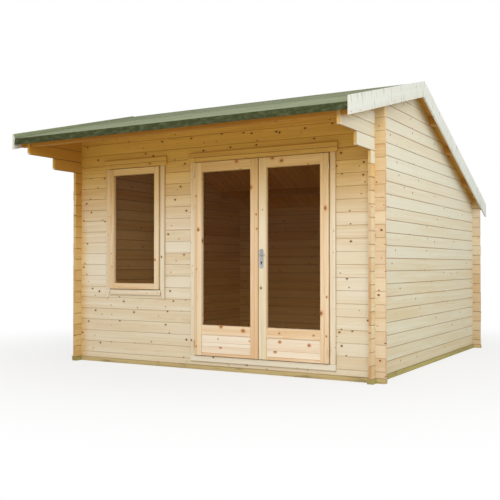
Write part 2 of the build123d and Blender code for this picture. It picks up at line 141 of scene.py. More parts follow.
class CabinRoof(bpy.types.PropertyGroup):
    """Roof boards, felt and bargeboards."""
    board: length("Roof board", "Width of one roof board", 0.095, 0.05, 0.4)
    felt: colour("Felt", "Mineral felt", 143, 151, 117)
    felt_light: colour("Felt, light", "Pale mineral chips", 172, 179, 146)
    felt_dark: colour("Felt, dark", "Bitumen between the chips", 70, 74, 48)
    # Turned-down felt: darker as painted shade, since it faces sideways
    felt_hem_shade: colour("Turned-down felt", "Felt that hangs over an eave", 56, 61, 28)
    soffit: colour("Roof board", "Roof boards from below", 228, 172, 82)
    soffit_grain: colour("Roof board grain", "Grain of the roof boards", 202, 140, 54)
    purlin: colour("Purlin", "Planed purlins", 200, 142, 44)
    purlin_grain: colour("Purlin grain", "Grain of the purlins", 176, 112, 26)
    lap_from_eave: length("Lap", "First lap, up the slope from the eave", 0.95, 0.2, 2)
    lap_cover: length("Lap cover", "How far one sheet lies over the next", 0.08, 0.02, 0.3)
    felt_thickness: length("Felt thickness", "Thickness of a sheet", 0.0022, 0.001, 0.01)
    felt_fold: length("Felt fold", "Radius of the fold over an eave", 0.016, 0.002, 0.05)
    ridge_lap: length("Ridge lap", "Front sheet carried over the ridge", 0.14, 0, 0.5)
    pale_board: colour("Bargeboard", "Pale planed bargeboard", 222, 225, 217)
    pale_board_grain: colour("Bargeboard grain", "Grain of the bargeboard", 212, 211, 196)
    pale_end: colour("Bargeboard end", "Sawn ends of the bargeboards", 226, 216, 194)
    chatter: colour("Saw marks", "Grey saw marks across the bargeboards", 164, 168, 158)
    apex_slot: length("Apex slot", "Gap between the bargeboards at the ridge", 0.007, 0, 0.03)


class CabinJoinery(bpy.types.PropertyGroup):
    """Doors, window and their frames."""
    stile: colour("Stile wood", "Door wood", 242, 222, 187)
    stile_grain: colour("Stile grain", "Orange grain of the doors", 226, 183, 134)
    sash: colour("Sash wood", "Window sash", 234, 215, 178)
    sash_grain: colour("Sash grain", "Grain of the window sash", 222, 182, 132)
    meeting: colour("Meeting stile", "Paler stile on the right leaf", 246, 233, 202)
    trim: colour("Casing wood", "Casings round the door and window", 238, 226, 200)
    trim_grain: colour("Casing grain", "Grain of the casings", 214, 190, 148)
    panel: colour("Panel wood", "Boards of the lower panels", 248, 236, 214)
    panel_grain: colour("Panel grain", "Grain of the lower panels", 236, 211, 180)
    bead: length("Bead", "Width of the glazing bead", 0.0035, 0.002, 0.04)
    head_step: length("Head step", "Height of the head boards' rebated part", 0.0455, 0, 0.1)
    stile_line_left: length("Left stile line", "Glue line from the left leaf's outer edge", 0.03, 0, 0.08)
    stile_line_meeting: length("Meeting line", "Glue line from the left leaf's meeting edge", 0.034, 0, 0.08)
    stile_line_right: length("Right stile line", "Glue line from the right leaf's outer edge", 0.044, 0, 0.08)
    left_joint_low: length("Left lower joint", "Height of the left panel's lower joint", 0.236, 0, 1)
    left_joint_high: length("Left upper joint", "Height of the left panel's upper joint", 0.272, 0, 1)
    right_joint: length("Right joint", "Height of the joint in the right panel", 0.229, 0, 1)


class CabinFittings(bpy.types.PropertyGroup):
    """Glass, hinges, lock plate and lever."""
    steel: colour("Steel", "Brushed steel plate and lever", 190, 192, 194)
    hinge: colour("Hinge steel", "Plated hinge", 226, 208, 174)
    glass: colour("Glass", "Tint of the glass", 236, 228, 214)
    screw: length("Screw head", "Radius of a screw head", 0.0042, 0.001, 0.02)
    knuckle: length("Knuckle", "Radius of a hinge knuckle", 0.006, 0.002, 0.02)
    hinge_height: length("Hinge height", "Height of one hinge", 0.062, 0.02, 0.2)
    hinge_plate: length("Hinge plate", "Thickness of the plate on the leaf's edge", 0.002, 0.0005, 0.01)
    keyhole: length("Keyhole", "Height of the keyhole", 1.056, 0, 2)
    grip: length("Grip", "Depth of the lever's grip", 0.014, 0.004, 0.04)


class CabinStage(bpy.types.PropertyGroup):
    """Camera, lamps, floor and backdrop."""
    eye: FloatVectorProperty(name="Camera", description="Place of the camera", size=3,
                             subtype="TRANSLATION", default=(4.156, -8.148, 1.033))
    turn: FloatProperty(name="Turn", description="Camera's turn from the back", subtype="ANGLE",
                        default=math.radians(29.93))
    tilt: FloatProperty(name="Tilt", description="Camera's rise above level", subtype="ANGLE",
                        default=math.radians(0.789))
    lens: FloatProperty(name="Lens", description="Focal length in millimetres", default=56.07, min=10)
    shift_x: FloatProperty(name="Shift across", description="Lens shift across", default=-0.0008)
    shift_y: FloatProperty(name="Shift up", description="Lens shift up", default=0.0081)
    sky: FloatProperty(name="Sky", description="Strength of the even light", default=0.64, min=0)
    key: FloatProperty(name="Key", description="Power of the main lamp in watts", default=450, min=0)
    side: FloatProperty(name="Side", description="Power of the right-hand lamp", default=215, min=0)
    floor: colour("Floor", "Pale studio floor", 220, 219, 215)


class CabinSettings(bpy.types.PropertyGroup):
    """All settings of the cabin."""
    timber: PointerProperty(type=CabinTimber)
    base: PointerProperty(type=CabinBase)
    roof: PointerProperty(type=CabinRoof)
    joinery: PointerProperty(type=CabinJoinery)
    fittings: PointerProperty(type=CabinFittings)
    stage: PointerProperty(type=CabinStage)


# ------------------------------------------------------------------ shader helpers
class Nodes:
    """A node tree, built in reading order."""

    def __init__(self, tree):
        self.tree = tree
        tree.nodes.clear()

    def feed(self, socket, value):
        """Link a socket, or set the constant."""
        if isinstance(value, bpy.types.NodeSocket):
            self.tree.links.new(value, socket)
        elif isinstance(value, (tuple, list, Vector)) or hasattr(value, "r"):
            parts = tuple(value)
            socket.default_value = parts + (1.0,) if socket.type == "RGBA" and len(parts) == 3 else parts
        else:
            socket.default_value = value

    def node(self, kind, outlet=0, inputs=None, **settings):
        node = self.tree.nodes.new("ShaderNode" + kind)
        for key, value in settings.items():
            setattr(node, key, value)
        for key, value in (inputs or {}).items():
            self.feed(node.inputs[key], value)
        return node.outputs[outlet] if outlet is not None else node

    def output(self, kind, surface):
        self.node("Output" + kind, None, {0: surface})

    def math(self, operation, a, b=0.0, c=0.0):
        return self.node("Math", operation=operation, inputs={0: a, 1: b, 2: c})

    def times(self, a, b):
        return self.math("MULTIPLY", a, b)

    def fused(self, a, b, c):
        """a times b, plus c."""
        return self.math("MULTIPLY_ADD", a, b, c)

    def clamp(self, value):
        return self.node("Clamp", inputs={"Value": value})

    def ease(self, value, low, high):
        """0 below low, 1 above high, and a soft change between."""
        return self.node("MapRange", interpolation_type="SMOOTHSTEP",
                         inputs={"Value": value, "From Min": low, "From Max": high})

    def fade(self, value, low, high):
        """1 below low, 0 above high, and a soft change between."""
        return self.math("SUBTRACT", 1.0, self.ease(value, low, high))

    def mix(self, share, first, second, blend="MIX"):
        node = self.node("Mix", None, data_type="RGBA", blend_type=blend)
        for index, value in ((0, share), (6, first), (7, second)):
            self.feed(node.inputs[index], value)
        return node.outputs[2]

    def coat(self, under, over, where, share):
        """One colour laid over another: as far as where says, and at most by share."""
        return self.mix(self.times(where, share), under, over)

    def join(self, *parts):
        return self.node("CombineXYZ", inputs=dict(enumerate(parts)))

    def split(self, vector):
        return self.node("SeparateXYZ", None, {0: vector}).outputs

    def noise(self, vector, scale, detail=2.0, rough=0.5):
        return self.node("TexNoise", inputs={"Vector": vector, "Scale": scale, "Detail": detail,
                                             "Roughness": rough})

    def stretched(self, parts, scales, detail=2.0, rough=0.5):
        """Noise with its own scale along each of three directions."""
        scaled = [self.times(part, scale) for part, scale in zip(parts, scales)]
        return self.noise(self.join(*scaled), 1.0, detail, rough)

    def cells(self, vector, scale, dimensions="3D"):
        """Three random values for each cell of a scattered pattern, and the distance from its middle."""
        node = self.node("TexVoronoi", None, voronoi_dimensions=dimensions)
        self.feed(node.inputs["Vector"], vector)
        self.feed(node.inputs["Scale"], scale)
        return self.split(node.outputs["Color"]), node.outputs["Distance"]

    def attribute(self, name, outlet="Vector"):
        return self.node("Attribute", outlet, attribute_type="GEOMETRY", attribute_name=name)

    def place(self):
        return self.node("TexCoord", "Object")

    def ray(self, kind):
        return self.node("LightPath", "Is %s Ray" % kind)

    def bump(self, height, strength, distance):
        return self.node("Bump", inputs={"Height": height, "Strength": strength, "Distance": distance})


class Shader(Nodes):
    """A material and its node tree."""

    def __init__(self, name):
        self.material = bpy.data.materials.new(name)
        self.material.use_nodes = True
        super().__init__(self.material.node_tree)

    def finish(self, **sockets):
        inputs = {key.replace("_", " "): value for key, value in sockets.items()}
        self.output("Material", self.node("BsdfPrincipled", inputs=inputs))
        return self.material


# ------------------------------------------------------------------ timber
# How weathered each face is and how much painted shade or painted light it takes, which a board carries as
# its exposure
PAINTED_LIGHT, WEATHERED, UNDER_EAVE, IN_CORNER, INDOORS = -1.0, 0.0, 1.0, 1.3, 2.0
HALF_UNDER_EAVE = 0.75
NOOK = (1.1, IN_CORNER)         # exposures over which a face becomes a nook with painted shade
ROOM_SIDE = 1.5                 # exposure from which a face looks into the room

# Patterns, in waves or cells in a metre: along, across and into a board where there are three
KNOT_SCALE = 6.6
KNOT_OUTLINE = 9.0
WAVY_RINGS = (0.9, 7.0, 7.0)
FIBRES = (2.2, 240.0, 240.0)
STREAKS = (0.8, 26.0, 26.0)
OPEN_JOINTS = (1.6, 1.0, 1.0)
SAW_MARKS = (30.0, 4.0, 1.0)
DAMP_MARKS = (3.5, 22.0, 1.0)

# Knots, by distances in a knot's own radius
KNOT_LENGTH = 0.8               # squeezes the pattern along the board, so that knots are oval
KNOT_UNEVEN = 0.01              # how far an outline strays, in metres
HEART_EDGE = (0.75, 1.1)
BARK_EDGE = (0.3, 0.75)
SWIRL_EDGE = (0.8, 3.6)         # of the grain that bends round a knot
HALO_EDGE = (0.9, 2.2)
HALO_GROWTH = 2.0               # how much farther a sappy knot's halo reaches
SAPPY_KNOTS = 0.38              # how far the joinery's knots spread into orange halos
HEART_SHARE, BARK_SHARE = 0.92, 0.9
HALO_SHARE, HALO_TINT = 0.55, 0.5

# Growth rings, in metres
PITH_ASIDE = 0.14               # width over which the pith wanders from board to board
PITH_BEHIND = (0.03, 0.07)      # its least depth, and what a board may add
RING_WAVE, KNOT_BEND = 0.035, 0.011     # how far slow waves and knots push the rings
LATE_WOOD = 2.4                 # power that keeps the dark part of a ring narrow

# How much each of these warms the wood; random values vary about their middle
MIDDLE = 0.5
STREAK_EDGE = (0.38, 0.66)
STREAK_WARMTH, FIBRE_WARMTH, BOARD_WARMTH, SWIRL_WARMTH = 0.42, 0.5, 0.5, 0.2

# Sawn ends: least brown, what a brown board adds, and what a ring's late wood adds
END_BROWN, END_BOARD, END_RINGS = 0.28, 0.45, 0.3
BROWN_BOARDS = (0.2, 0.9)
END_SHARE = 0.9

# Weather, painted shade and painted light on the walls, by height above the ground in metres, and how much
# each covers
PAINTED_LIGHT_SHARE = 0.7
PALER_UP, PALER_UP_SHARE = (0.8, 1.9), 0.34
# Painted shade in nooks and beside the left corner: where it deepens, how much the corner's strip takes, and
# how it grows with height
DEEP_NOOK = (0.9, 1.7)
CORNER_SHARE = 0.6
DIM_NOOK, DIM_LOW, DIM_MORE = (0.8, 1.8), 0.62, 0.35
SPLASHED, SPLASH_SHARE = (0.04, 0.55), 0.15

# Dark joints and long edges, partly painted shade in the log joints and along the casings, saw marks and
# damp: the part of their noise that shows, and how much it covers
JOINT_OPEN, JOINT_LEAST, JOINT_MORE = (0.3, 0.7), 0.55, 0.45
SAW_MARK_EDGE, SAW_MARK_SHARE = (0.55, 0.7), 0.85
DAMP_EDGE, DAMP_SHARE = (0.5, 0.72), 0.6

# Relief of knots, fibres and late wood
KNOT_RELIEF, FIBRE_RELIEF, LATE_RELIEF, RELIEF_DEPTH = -0.5, 0.6, -0.4, 0.001


def pine(name, timber, pale, grain, ends=None, knots=0.5, knot_size=(0.004, 0.009), eave=False,
         flame=0.0, corner=0.0, verge=False, ring_share=0.4, seam=0.0, seam_width=None,
         roughness=0.62, bump=0.25, sawn=0.0, chatter=None, grime_and_hole_shade=None):
    """Pine that follows each board's own grain, honey-coloured under the eave, below the verges and in nooks:
    partly drier wood, partly painted shade.
    """
    s = Shader(name)
    along, across, deep = board = s.split(s.attribute("wood"))
    half_width = s.split(s.attribute("span"))[1]
    mood = s.split(s.attribute("figure"))
    end, exposure = s.attribute("end", "Fac"), s.attribute("exposure", "Fac")

    # knots go straight through a board
    drift = s.noise(s.join(along, across, mood[0]), KNOT_OUTLINE, 1.0)
    flat = s.join(s.times(along, KNOT_LENGTH), s.fused(drift, KNOT_UNEVEN, across), 0.0)
    chance, distance = s.cells(flat, KNOT_SCALE, "2D")
    there = s.math("LESS_THAN", chance[0], knots)
    size = s.fused(chance[1], knot_size[1] - knot_size[0], knot_size[0])
    away = s.math("DIVIDE", distance, s.times(size, KNOT_SCALE))
    core = s.times(there, s.fade(away, *HEART_EDGE))
    bark = s.times(core, s.ease(away, *BARK_EDGE))
    swirl = s.times(there, s.fade(away, *SWIRL_EDGE))

    # growth rings about a pith that lies behind the board's face
    slow = s.stretched(board, WAVY_RINGS)
    side = s.math("ADD", across, s.fused(mood[0], PITH_ASIDE, -PITH_ASIDE / 2))
    back = s.math("ADD", deep, s.fused(mood[1], PITH_BEHIND[1], PITH_BEHIND[0]))
    radius = s.math("SQRT", s.math("ADD", s.times(side, side), s.times(back, back)))
    radius = s.fused(swirl, KNOT_BEND, s.fused(slow, RING_WAVE, radius))
    late = s.math("POWER", s.math("FRACT", s.math("DIVIDE", radius, timber.ring_width)), LATE_WOOD)

    # rings, streaks, fibres, the board's own mood and the knots' surroundings all warm the wood
    fibre = s.stretched(board, FIBRES, 3.0, 0.6)
    streak = s.stretched(board, STREAKS, 2.0, 0.55)
    warmth = s.times(late, ring_share)
    for value, share in ((s.ease(streak, *STREAK_EDGE), STREAK_WARMTH),
                         (s.math("SUBTRACT", fibre, MIDDLE), FIBRE_WARMTH),
                         (s.math("SUBTRACT", mood[2], MIDDLE), BOARD_WARMTH), (swirl, SWIRL_WARMTH)):
        warmth = s.fused(value, share, warmth)
    warmth = s.clamp(warmth)
    browned = s.fused(s.ease(mood[2], *BROWN_BOARDS), END_BOARD, END_BROWN)
    browned = s.clamp(s.fused(late, END_RINGS, browned))
    sawn_end = s.mix(browned, *(ends or (timber.end_pale, timber.end_brown)))
    shade = s.coat(s.mix(warmth, pale, grain), sawn_end, end, END_SHARE)
    # Painted light: faces with a negative exposure, the door sill and the purlins' undersides, lighten toward
    # the pale colour
    shade = s.coat(shade, timber.pale_and_lit, s.ease(s.times(exposure, -1.0), 0.0, 1.0), PAINTED_LIGHT_SHARE)

    if eave:
        aside, behind, height = s.split(s.place())
        if verge:
            # The side walls grow paler towards the top
            shade = s.coat(shade, timber.pale_and_lit, s.ease(height, *PALER_UP), PALER_UP_SHARE)
        # Painted shade in nooks: the porch corner's faces darken toward the deeper honey grain
        nooks = s.ease(exposure, *NOOK)
        deep_nook = s.times(nooks, s.ease(height, *DEEP_NOOK))
        fresh_and_shaded = s.mix(s.math("MAXIMUM", warmth, deep_nook), timber.fresh_and_shaded, timber.fresh_and_shaded_grain)
        # Painted shade under the eave, partly drier wood: the wood turns honey with height
        shelter_and_shade = s.ease(height, timber.shelter_and_shade_low, timber.shelter_and_shade_high)
        # Painted shade beside the left corner
        if corner:
            nook = s.ease(s.times(aside, -1.0), ROOM - corner, ROOM)
            shelter_and_shade = s.math("MAXIMUM", shelter_and_shade, s.times(nook, CORNER_SHARE))
        # More painted shade in nooks, growing with height
        dim = s.times(nooks, s.fused(s.ease(height, *DIM_NOOK), DIM_MORE, DIM_LOW))
        under = s.times(s.math("MAXIMUM", shelter_and_shade, dim), s.clamp(exposure))
        # Painted shade below the verges: the side walls turn honey just under the roof line
        for rise, top in roof_lines() if verge else ():
            below = s.math("SUBTRACT", s.fused(behind, rise, top), height)
            under = s.math("MAXIMUM", under, s.fade(below, 0.0, timber.verge_shade_reach))
        shade = s.mix(under, shade, fresh_and_shaded)
        splashed = s.mix(1.0, shade, grain, "MULTIPLY")
        shade = s.coat(shade, splashed, s.fade(height, *SPLASHED), SPLASH_SHARE)
    indoors = s.math("GREATER_THAN", exposure, ROOM_SIDE)
    shade = s.mix(indoors, shade, s.mix(warmth, timber.inner, timber.inner_grain))

    # Painted shade, partly dark joints: each board's long edges darken, as in the log joints and along the
    # casings' edges
    if seam:
        edge = s.math("SUBTRACT", half_width, s.math("ABSOLUTE", across))
        patchy = s.stretched((along, mood[0], 0.0), OPEN_JOINTS)
        joint = s.times(s.fade(edge, 0.0, seam_width or timber.seam_width),
                        s.fused(s.ease(patchy, *JOINT_OPEN), JOINT_MORE, JOINT_LEAST))
        shade = s.coat(shade, timber.seam, joint, seam)
    if chatter is not None:
        marks = s.stretched((along, across, 0.0), SAW_MARKS, 3.0)
        shade = s.coat(shade, chatter, s.ease(marks, *SAW_MARK_EDGE), SAW_MARK_SHARE)
    if grime_and_hole_shade is not None:
        damp = s.stretched((along, across, mood[0]), DAMP_MARKS, 4.0, 0.65)
        shade = s.coat(shade, grime_and_hole_shade, s.ease(damp, *DAMP_EDGE), DAMP_SHARE)
    halo = s.times(there, s.fade(away, HALO_EDGE[0], HALO_EDGE[1] + HALO_GROWTH * flame))
    shade = s.coat(shade, s.mix(HALO_TINT + flame, shade, timber.knot_halo), halo, HALO_SHARE + flame)
    shade = s.coat(shade, timber.knot_heart, core, HEART_SHARE - flame)
    shade = s.coat(shade, timber.knot_ring, bark, BARK_SHARE - flame)

    relief = s.fused(fibre, FIBRE_RELIEF + sawn, s.times(late, LATE_RELIEF))
    relief = s.bump(s.fused(core, KNOT_RELIEF, relief), bump, RELIEF_DEPTH)
    return s.finish(Base_Color=shade, Roughness=roughness, Normal=relief, IOR=1.45)


# ------------------------------------------------------------------ felt, glass and steel
# Patterns of the felt, in cells or waves in a metre
CHIP_SCALE, BLOTCH_SCALE, GRIT_SCALE = 420.0, 2.6, 60.0
FELT_STREAKS = (16.0, 1.1, 1.0)         # across and down the slope
HEM_STREAKS = (13.0, 1.0, 34.0)         # along and down the turned-down edges
CHIP_EDGE, FELT_BASE = (0.25, 0.95), 0.6
GRIT_EDGE, GRIT_SHARE = (0.4, 0.7), 0.2
BLOTCH_EDGE, BLOTCH_SHARE = (0.35, 0.75), 0.36
WORN_EDGE, WORN_SHARE = (0.4, 0.8), 0.22
# Painted shade on the turned-down edges, and their mottles and streaks
HEM_SHARE = 0.92
HEM_DARK, HEM_DARK_SHARE = (0.45, 0.62), 0.4
HEM_GREEN, HEM_GREEN_SHARE = (0.52, 0.3), 0.22

GLASS_WAVE, GLASS_SMEAR = 2.5, 14.0     # waves in a metre
SMEAR_EDGE = (0.3, 0.8)
BRUSH_LENGTH = 12.0                     # brush marks in a metre up and down
TARNISH_SCALE, TARNISH = 40.0, 0.22     # patches of steel, and how much their roughness varies
BRUSH_EDGE, BRUSH_SHARE = (0.4, 0.8), 0.3


def mineral_felt(roof):
    """Green mineral felt: chips in bitumen, faint streaks down the slope, turned-down edges darkened with
    painted shade and dark mottles.
    """
    s = Shader("green_mineral_felt")
    place = s.place()
    across, down, height = s.split(place)
    hang, lapped, _ = s.split(s.attribute("sheet"))
    chance, distance = s.cells(place, CHIP_SCALE)
    blotch, grit = s.noise(place, BLOTCH_SCALE, 4.0, 0.6), s.noise(place, GRIT_SCALE, 3.0, 0.6)
    streak = s.stretched((across, down, 0.0), FELT_STREAKS, 3.0, 0.6)
    hem = s.stretched((across, 0.0, height), HEM_STREAKS, 3.0, 0.7)
    chips = s.mix(s.ease(chance[0], *CHIP_EDGE), roof.felt_dark, roof.felt_light)
    shade = s.mix(FELT_BASE, chips, roof.felt)
    shade = s.coat(shade, roof.felt_light, s.ease(grit, *GRIT_EDGE), GRIT_SHARE)
    shade = s.coat(shade, roof.felt_light, s.ease(blotch, *BLOTCH_EDGE), BLOTCH_SHARE)
    wear_and_hem_shade = s.fused(s.ease(streak, *WORN_EDGE), WORN_SHARE, s.times(lapped, WORN_SHARE))
    shade = s.coat(shade, roof.felt_dark, wear_and_hem_shade, lapped)
    # Painted shade: the turned-down edges are darker than the top
    shade = s.coat(shade, roof.felt_hem_shade, hang, HEM_SHARE)
    shade = s.coat(shade, tone(36, 42, 18), hang, s.times(s.ease(hem, *HEM_DARK), HEM_DARK_SHARE))
    shade = s.coat(shade, roof.felt, hang, s.times(s.ease(hem, *HEM_GREEN), HEM_GREEN_SHARE))
    return s.finish(Base_Color=shade, Roughness=0.88, Normal=s.bump(distance, 0.5, 0.0015), IOR=1.5,
                    Specular_IOR_Level=0.15)


def clear_glass(name, fittings):
    """Plain glass with a faint waviness."""
    s = Shader(name)
    wave = s.noise(s.place(), GLASS_WAVE, 1.0)
    smear = s.noise(s.place(), GLASS_SMEAR, 3.0, 0.6)
    return s.finish(Base_Color=s.mix(s.ease(smear, *SMEAR_EDGE), fittings.glass, tone(222, 214, 200)),
                    Roughness=0.0, IOR=1.25, Transmission_Weight=1.0, Specular_IOR_Level=0.25, Alpha=0.16,
                    Normal=s.bump(wave, 0.05, 0.002))


def steel(name, tint, roughness=0.34, brush=320.0):
    """Plated steel with fine brush marks up and down."""
    s = Shader(name)
    marks = s.stretched(s.split(s.place()), (brush, brush, BRUSH_LENGTH))
    rough = s.fused(s.noise(s.place(), TARNISH_SCALE, 3.0), TARNISH, roughness - TARNISH / 2)
    shade = s.coat(tint, tone(110, 108, 102), s.ease(marks, *BRUSH_EDGE), BRUSH_SHARE)
    return s.finish(Base_Color=shade, Metallic=1.0, Roughness=rough, Normal=s.bump(marks, 0.12, 0.0003))


def hole_shade(name):
    """Painted shade: a dark stand-in for the shadowed inside of the keyhole and of the screws' slots, mottled
    by noise.
    """
    s = Shader(name)
    grime_and_hole_shade = s.noise(s.place(), 300.0, 2.0)
    return s.finish(Base_Color=s.mix(grime_and_hole_shade, tone(18, 16, 14), tone(44, 38, 32)), Roughness=0.7)


def shared(name, maker, *values, **options):
    """A material made on first use and shared afterwards."""
    return bpy.data.materials.get(name) or maker(name, *values, **options)


def wood(settings, kind):
    """One of the dressed timbers, from its pale wood, its grain and what its figure is like."""
    t, b, r, j = settings.timber, settings.base, settings.roof, settings.joinery
    joinery = dict(eave=True, flame=SAPPY_KNOTS)
    bearer = dict(roughness=0.8, bump=0.5, sawn=0.8, grime_and_hole_shade=b.grime_and_hole_shade)
    pale, grain, figure = {
        "wall_pine": (t.sapwood, t.heartwood, dict(
            knots=0.95, knot_size=(0.0035, 0.0095), eave=True, corner=t.corner, seam=0.5)),
        "side_pine": (t.side_sapwood, t.side_heartwood, dict(
            knot_size=(0.003, 0.008), eave=True, verge=True, seam=1.0, seam_width=0.0056)),
        "roof_pine": (r.soffit, r.soffit_grain, dict(seam=0.5)),
        "purlin_pine": (r.purlin, r.purlin_grain, dict(
            ends=(r.soffit, r.purlin_grain), knots=0.7, seam=0.4)),
        "trim_pine": (j.trim, j.trim_grain, dict(
            knots=0.42, knot_size=(0.003, 0.008), eave=True, seam=0.75, seam_width=0.0035)),
        "door_pine": (j.stile, j.stile_grain, dict(
            knots=0.6, knot_size=(0.005, 0.011), ring_share=0.55, seam=0.3, seam_width=0.003, **joinery)),
        "sash_pine": (j.sash, j.sash_grain, dict(
            knot_size=(0.003, 0.007), ring_share=0.5, seam=0.5, seam_width=0.003, **joinery)),
        "meeting_pine": (j.meeting, j.trim_grain, dict(knots=0.25, ring_share=0.25, eave=True, flame=0.1)),
        "panel_pine": (j.panel, j.panel_grain, dict(knots=0.6, **joinery)),
        "pale_board": (r.pale_board, r.pale_board_grain, dict(
            ends=(r.pale_end, r.pale_board_grain), knots=0.3, knot_size=(0.003, 0.006), ring_share=0.25,
            sawn=0.5, chatter=r.chatter)),
        "treated_bearer": (b.treated, b.treated_dark, dict(ends=(b.treated_end, b.treated_dark), **bearer)),
        "treated_side": (b.treated_side, b.treated_side_dark, dict(
            ends=(b.treated_end, b.treated_side_dark), **bearer)),
        "floor_pine": (t.inner, t.inner_grain, dict(seam=0.6)),
    }[kind]
    return shared(kind + "_dressed", pine, t, pale, grain, **figure)


def bright_steel(settings):
    return shared("brushed_steel_dressed", steel, settings.fittings.steel)


def hinge_plating(settings):
    return shared("hinge_steel_dressed", steel, settings.fittings.hinge, 0.42, 200.0)


# ------------------------------------------------------------------ mesh helpers
LONG_GRAIN = 0.0016     # rounding of the edges of rails, glued boards and casing ends
STILE_EDGE = 0.002      # rounding of the edges of whole stiles
GLUE_GAP = 0.0003       # half the gap between glued boards
RAIL_STEP = 0.0004      # how far rails lie behind the stiles' faces, and half a moulding's gap
BEAD_SUNK = 0.003       # how far glazing beads start behind the face
SAWN_TIP = 0.03         # end of a projecting log that is sawn unevenly
FINE_EDGE = 0.0008      # rounding of felt strips and steel


def at(x, y, z):
    return Vector((x, y, z))


def islands(verts):
    """Groups of connected vertices, in order."""
    left = set(verts)
    for start in verts:
        if start not in left:
            continue
        group = [start]
        left.discard(start)
        for vert in group:
            for edge in vert.link_edges:
                other = edge.other_vert(vert)
                if other in left:
                    left.discard(other)
                    group.append(other)
        yield group


def cad_shape(node):
    """A copy of a CAD node's mesh, merged and with its flat faces whole."""
    data = NODES[node].data.copy()
    for name in [a.name for a in data.attributes if a.name in ("custom_normal", "sharp_face", "sharp_edge")]:
        data.attributes.remove(data.attributes[name])
    shape = bmesh.new()
    shape.from_mesh(data)
    bpy.data.meshes.remove(data)
    bmesh.ops.remove_doubles(shape, verts=shape.verts, dist=1e-4)
    bmesh.ops.dissolve_limit(shape, angle_limit=math.radians(0.5), verts=shape.verts, edges=shape.edges)
    return shape


def pour(shape, mesh):
    """Move one bmesh into another."""
    data = bpy.data.meshes.new("poured")
    shape.to_mesh(data)
    shape.free()
    mesh.from_mesh(data)
    bpy.data.meshes.remove(data)


def sharp_edges(shape, angle=25.0):
    return [e for e in shape.edges if e.is_manifold and e.calc_face_angle(0) > math.radians(angle)]


def soften(shape, edges, radius, segments=2):
    """Round the given edges."""
    if radius > 0:
        bmesh.ops.bevel(shape, geom=edges, offset=radius, offset_type="OFFSET", segments=segments,
                        profile=0.5, affect="EDGES", clamp_overlap=True, material=-1)


def part(shape, place, normal, near, clear=False):
    """Cut every face that crosses a plane; near is how close to it a vertex counts as on it."""
    return bmesh.ops.bisect_plane(shape, geom=shape.verts[:] + shape.edges[:] + shape.faces[:],
                                  dist=near, plane_co=place, plane_no=normal, clear_outer=clear)


def trim(shape, place, normal):
    """Cut a closed shape off beyond a plane and close the cut."""
    cut = part(shape, place, normal, 0.0001, True)
    bmesh.ops.holes_fill(shape, edges=[g for g in cut["geom_cut"] if isinstance(g, bmesh.types.BMEdge)])
    bmesh.ops.recalc_face_normals(shape, faces=shape.faces)


def extruded(outline, across, radius, mitres=()):
    """A flat outline pushed out by a vector, with rounded edges; mitres are (point, outward normal)."""
    shape = bmesh.new()
    base = shape.faces.new([shape.verts.new(p) for p in outline])
    grown = bmesh.ops.extrude_face_region(shape, geom=[base])["geom"]
    bmesh.ops.translate(shape, vec=across, verts=[g for g in grown if isinstance(g, bmesh.types.BMVert)])
    bmesh.ops.recalc_face_normals(shape, faces=shape.faces)
    for place, normal in mitres:
        trim(shape, place, normal)
    soften(shape, sharp_edges(shape), radius)
    return shape


def fit(shape, made, size, centre):
    """Stretch and move what an operator has just made; gives its vertices."""
    bmesh.ops.scale(shape, vec=size, verts=made["verts"])
    bmesh.ops.translate(shape, vec=centre, verts=made["verts"])
    return made["verts"]


def cube(shape, size, centre):
    return fit(shape, bmesh.ops.create_cube(shape, size=1), size, centre)


def ball(shape, radius, rings, centre, size=(1, 1, 1)):
    made = bmesh.ops.create_uvsphere(shape, u_segments=2 * rings, v_segments=rings, radius=radius)
    fit(shape, made, size, centre)


def turned(shape, centre, axis, radius, length, segments=24, tip=None):
    """A round bar between two ends along an axis."""
    made = bmesh.ops.create_cone(shape, cap_ends=True, segments=segments, radius1=radius,
                                 radius2=radius if tip is None else tip, depth=length)
    turn = Z.rotation_difference(axis).to_matrix().to_4x4()
    bmesh.ops.transform(shape, matrix=turn, verts=made["verts"])
    bmesh.ops.translate(shape, vec=centre, verts=made["verts"])


def add_object(name, data):
    added = bpy.data.objects.new(name, data)
    bpy.context.scene.collection.objects.link(added)
    return added


def place_mesh(name, mesh, material, body="cabin", replaces=(), smooth=None):
    """Turn a bmesh into a piece that rides on a body."""
    data = bpy.data.meshes.new(name)
    mesh.to_mesh(data)
    mesh.free()
    piece = add_object(name, data)
    data.materials.append(material)
    data.polygons.foreach_set("use_smooth", [smooth is not None] * len(data.polygons))
    if smooth is not None:
        data.set_sharp_from_angle(angle=math.radians(smooth))
    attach(piece, body)
    if replaces:
        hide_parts(*replaces)


# ------------------------------------------------------------------ how weathered each face is, and its painted shade and light
LOG_TIP = 0.4                   # exposure of the front logs' tips
CORNER_FRONT = 1.2              # of the left side's log ends, seen from the front
CORNER_LOG = 1.17               # of the side logs' faces that look over the porch
UNDERSIDE_LIGHT = -0.6              # of the purlins' undersides, which take painted light
EAVE_SHADE = 1.9                # height in metres up to which those faces take the porch side's honey and painted shade
SILL_TOP = 0.12


def outdoors(middle, normal):
    return WEATHERED


def under_roof(middle, normal):
    return UNDER_EAVE


def over_opening(middle, normal):
    """Head boards, up under the eave, where they take its honey and its painted shade."""
    return INDOORS if normal.y > 0.5 else UNDER_EAVE


def front_face(middle, normal):
    """The front wall's outer side lies under the eave; its tips stand out in the weather."""
    return LOG_TIP if abs(middle.x) > ROOM else over_opening(middle, normal)


def back_face(middle, normal):
    return INDOORS if normal.y < -0.5 and abs(middle.x) < ROOM else WEATHERED


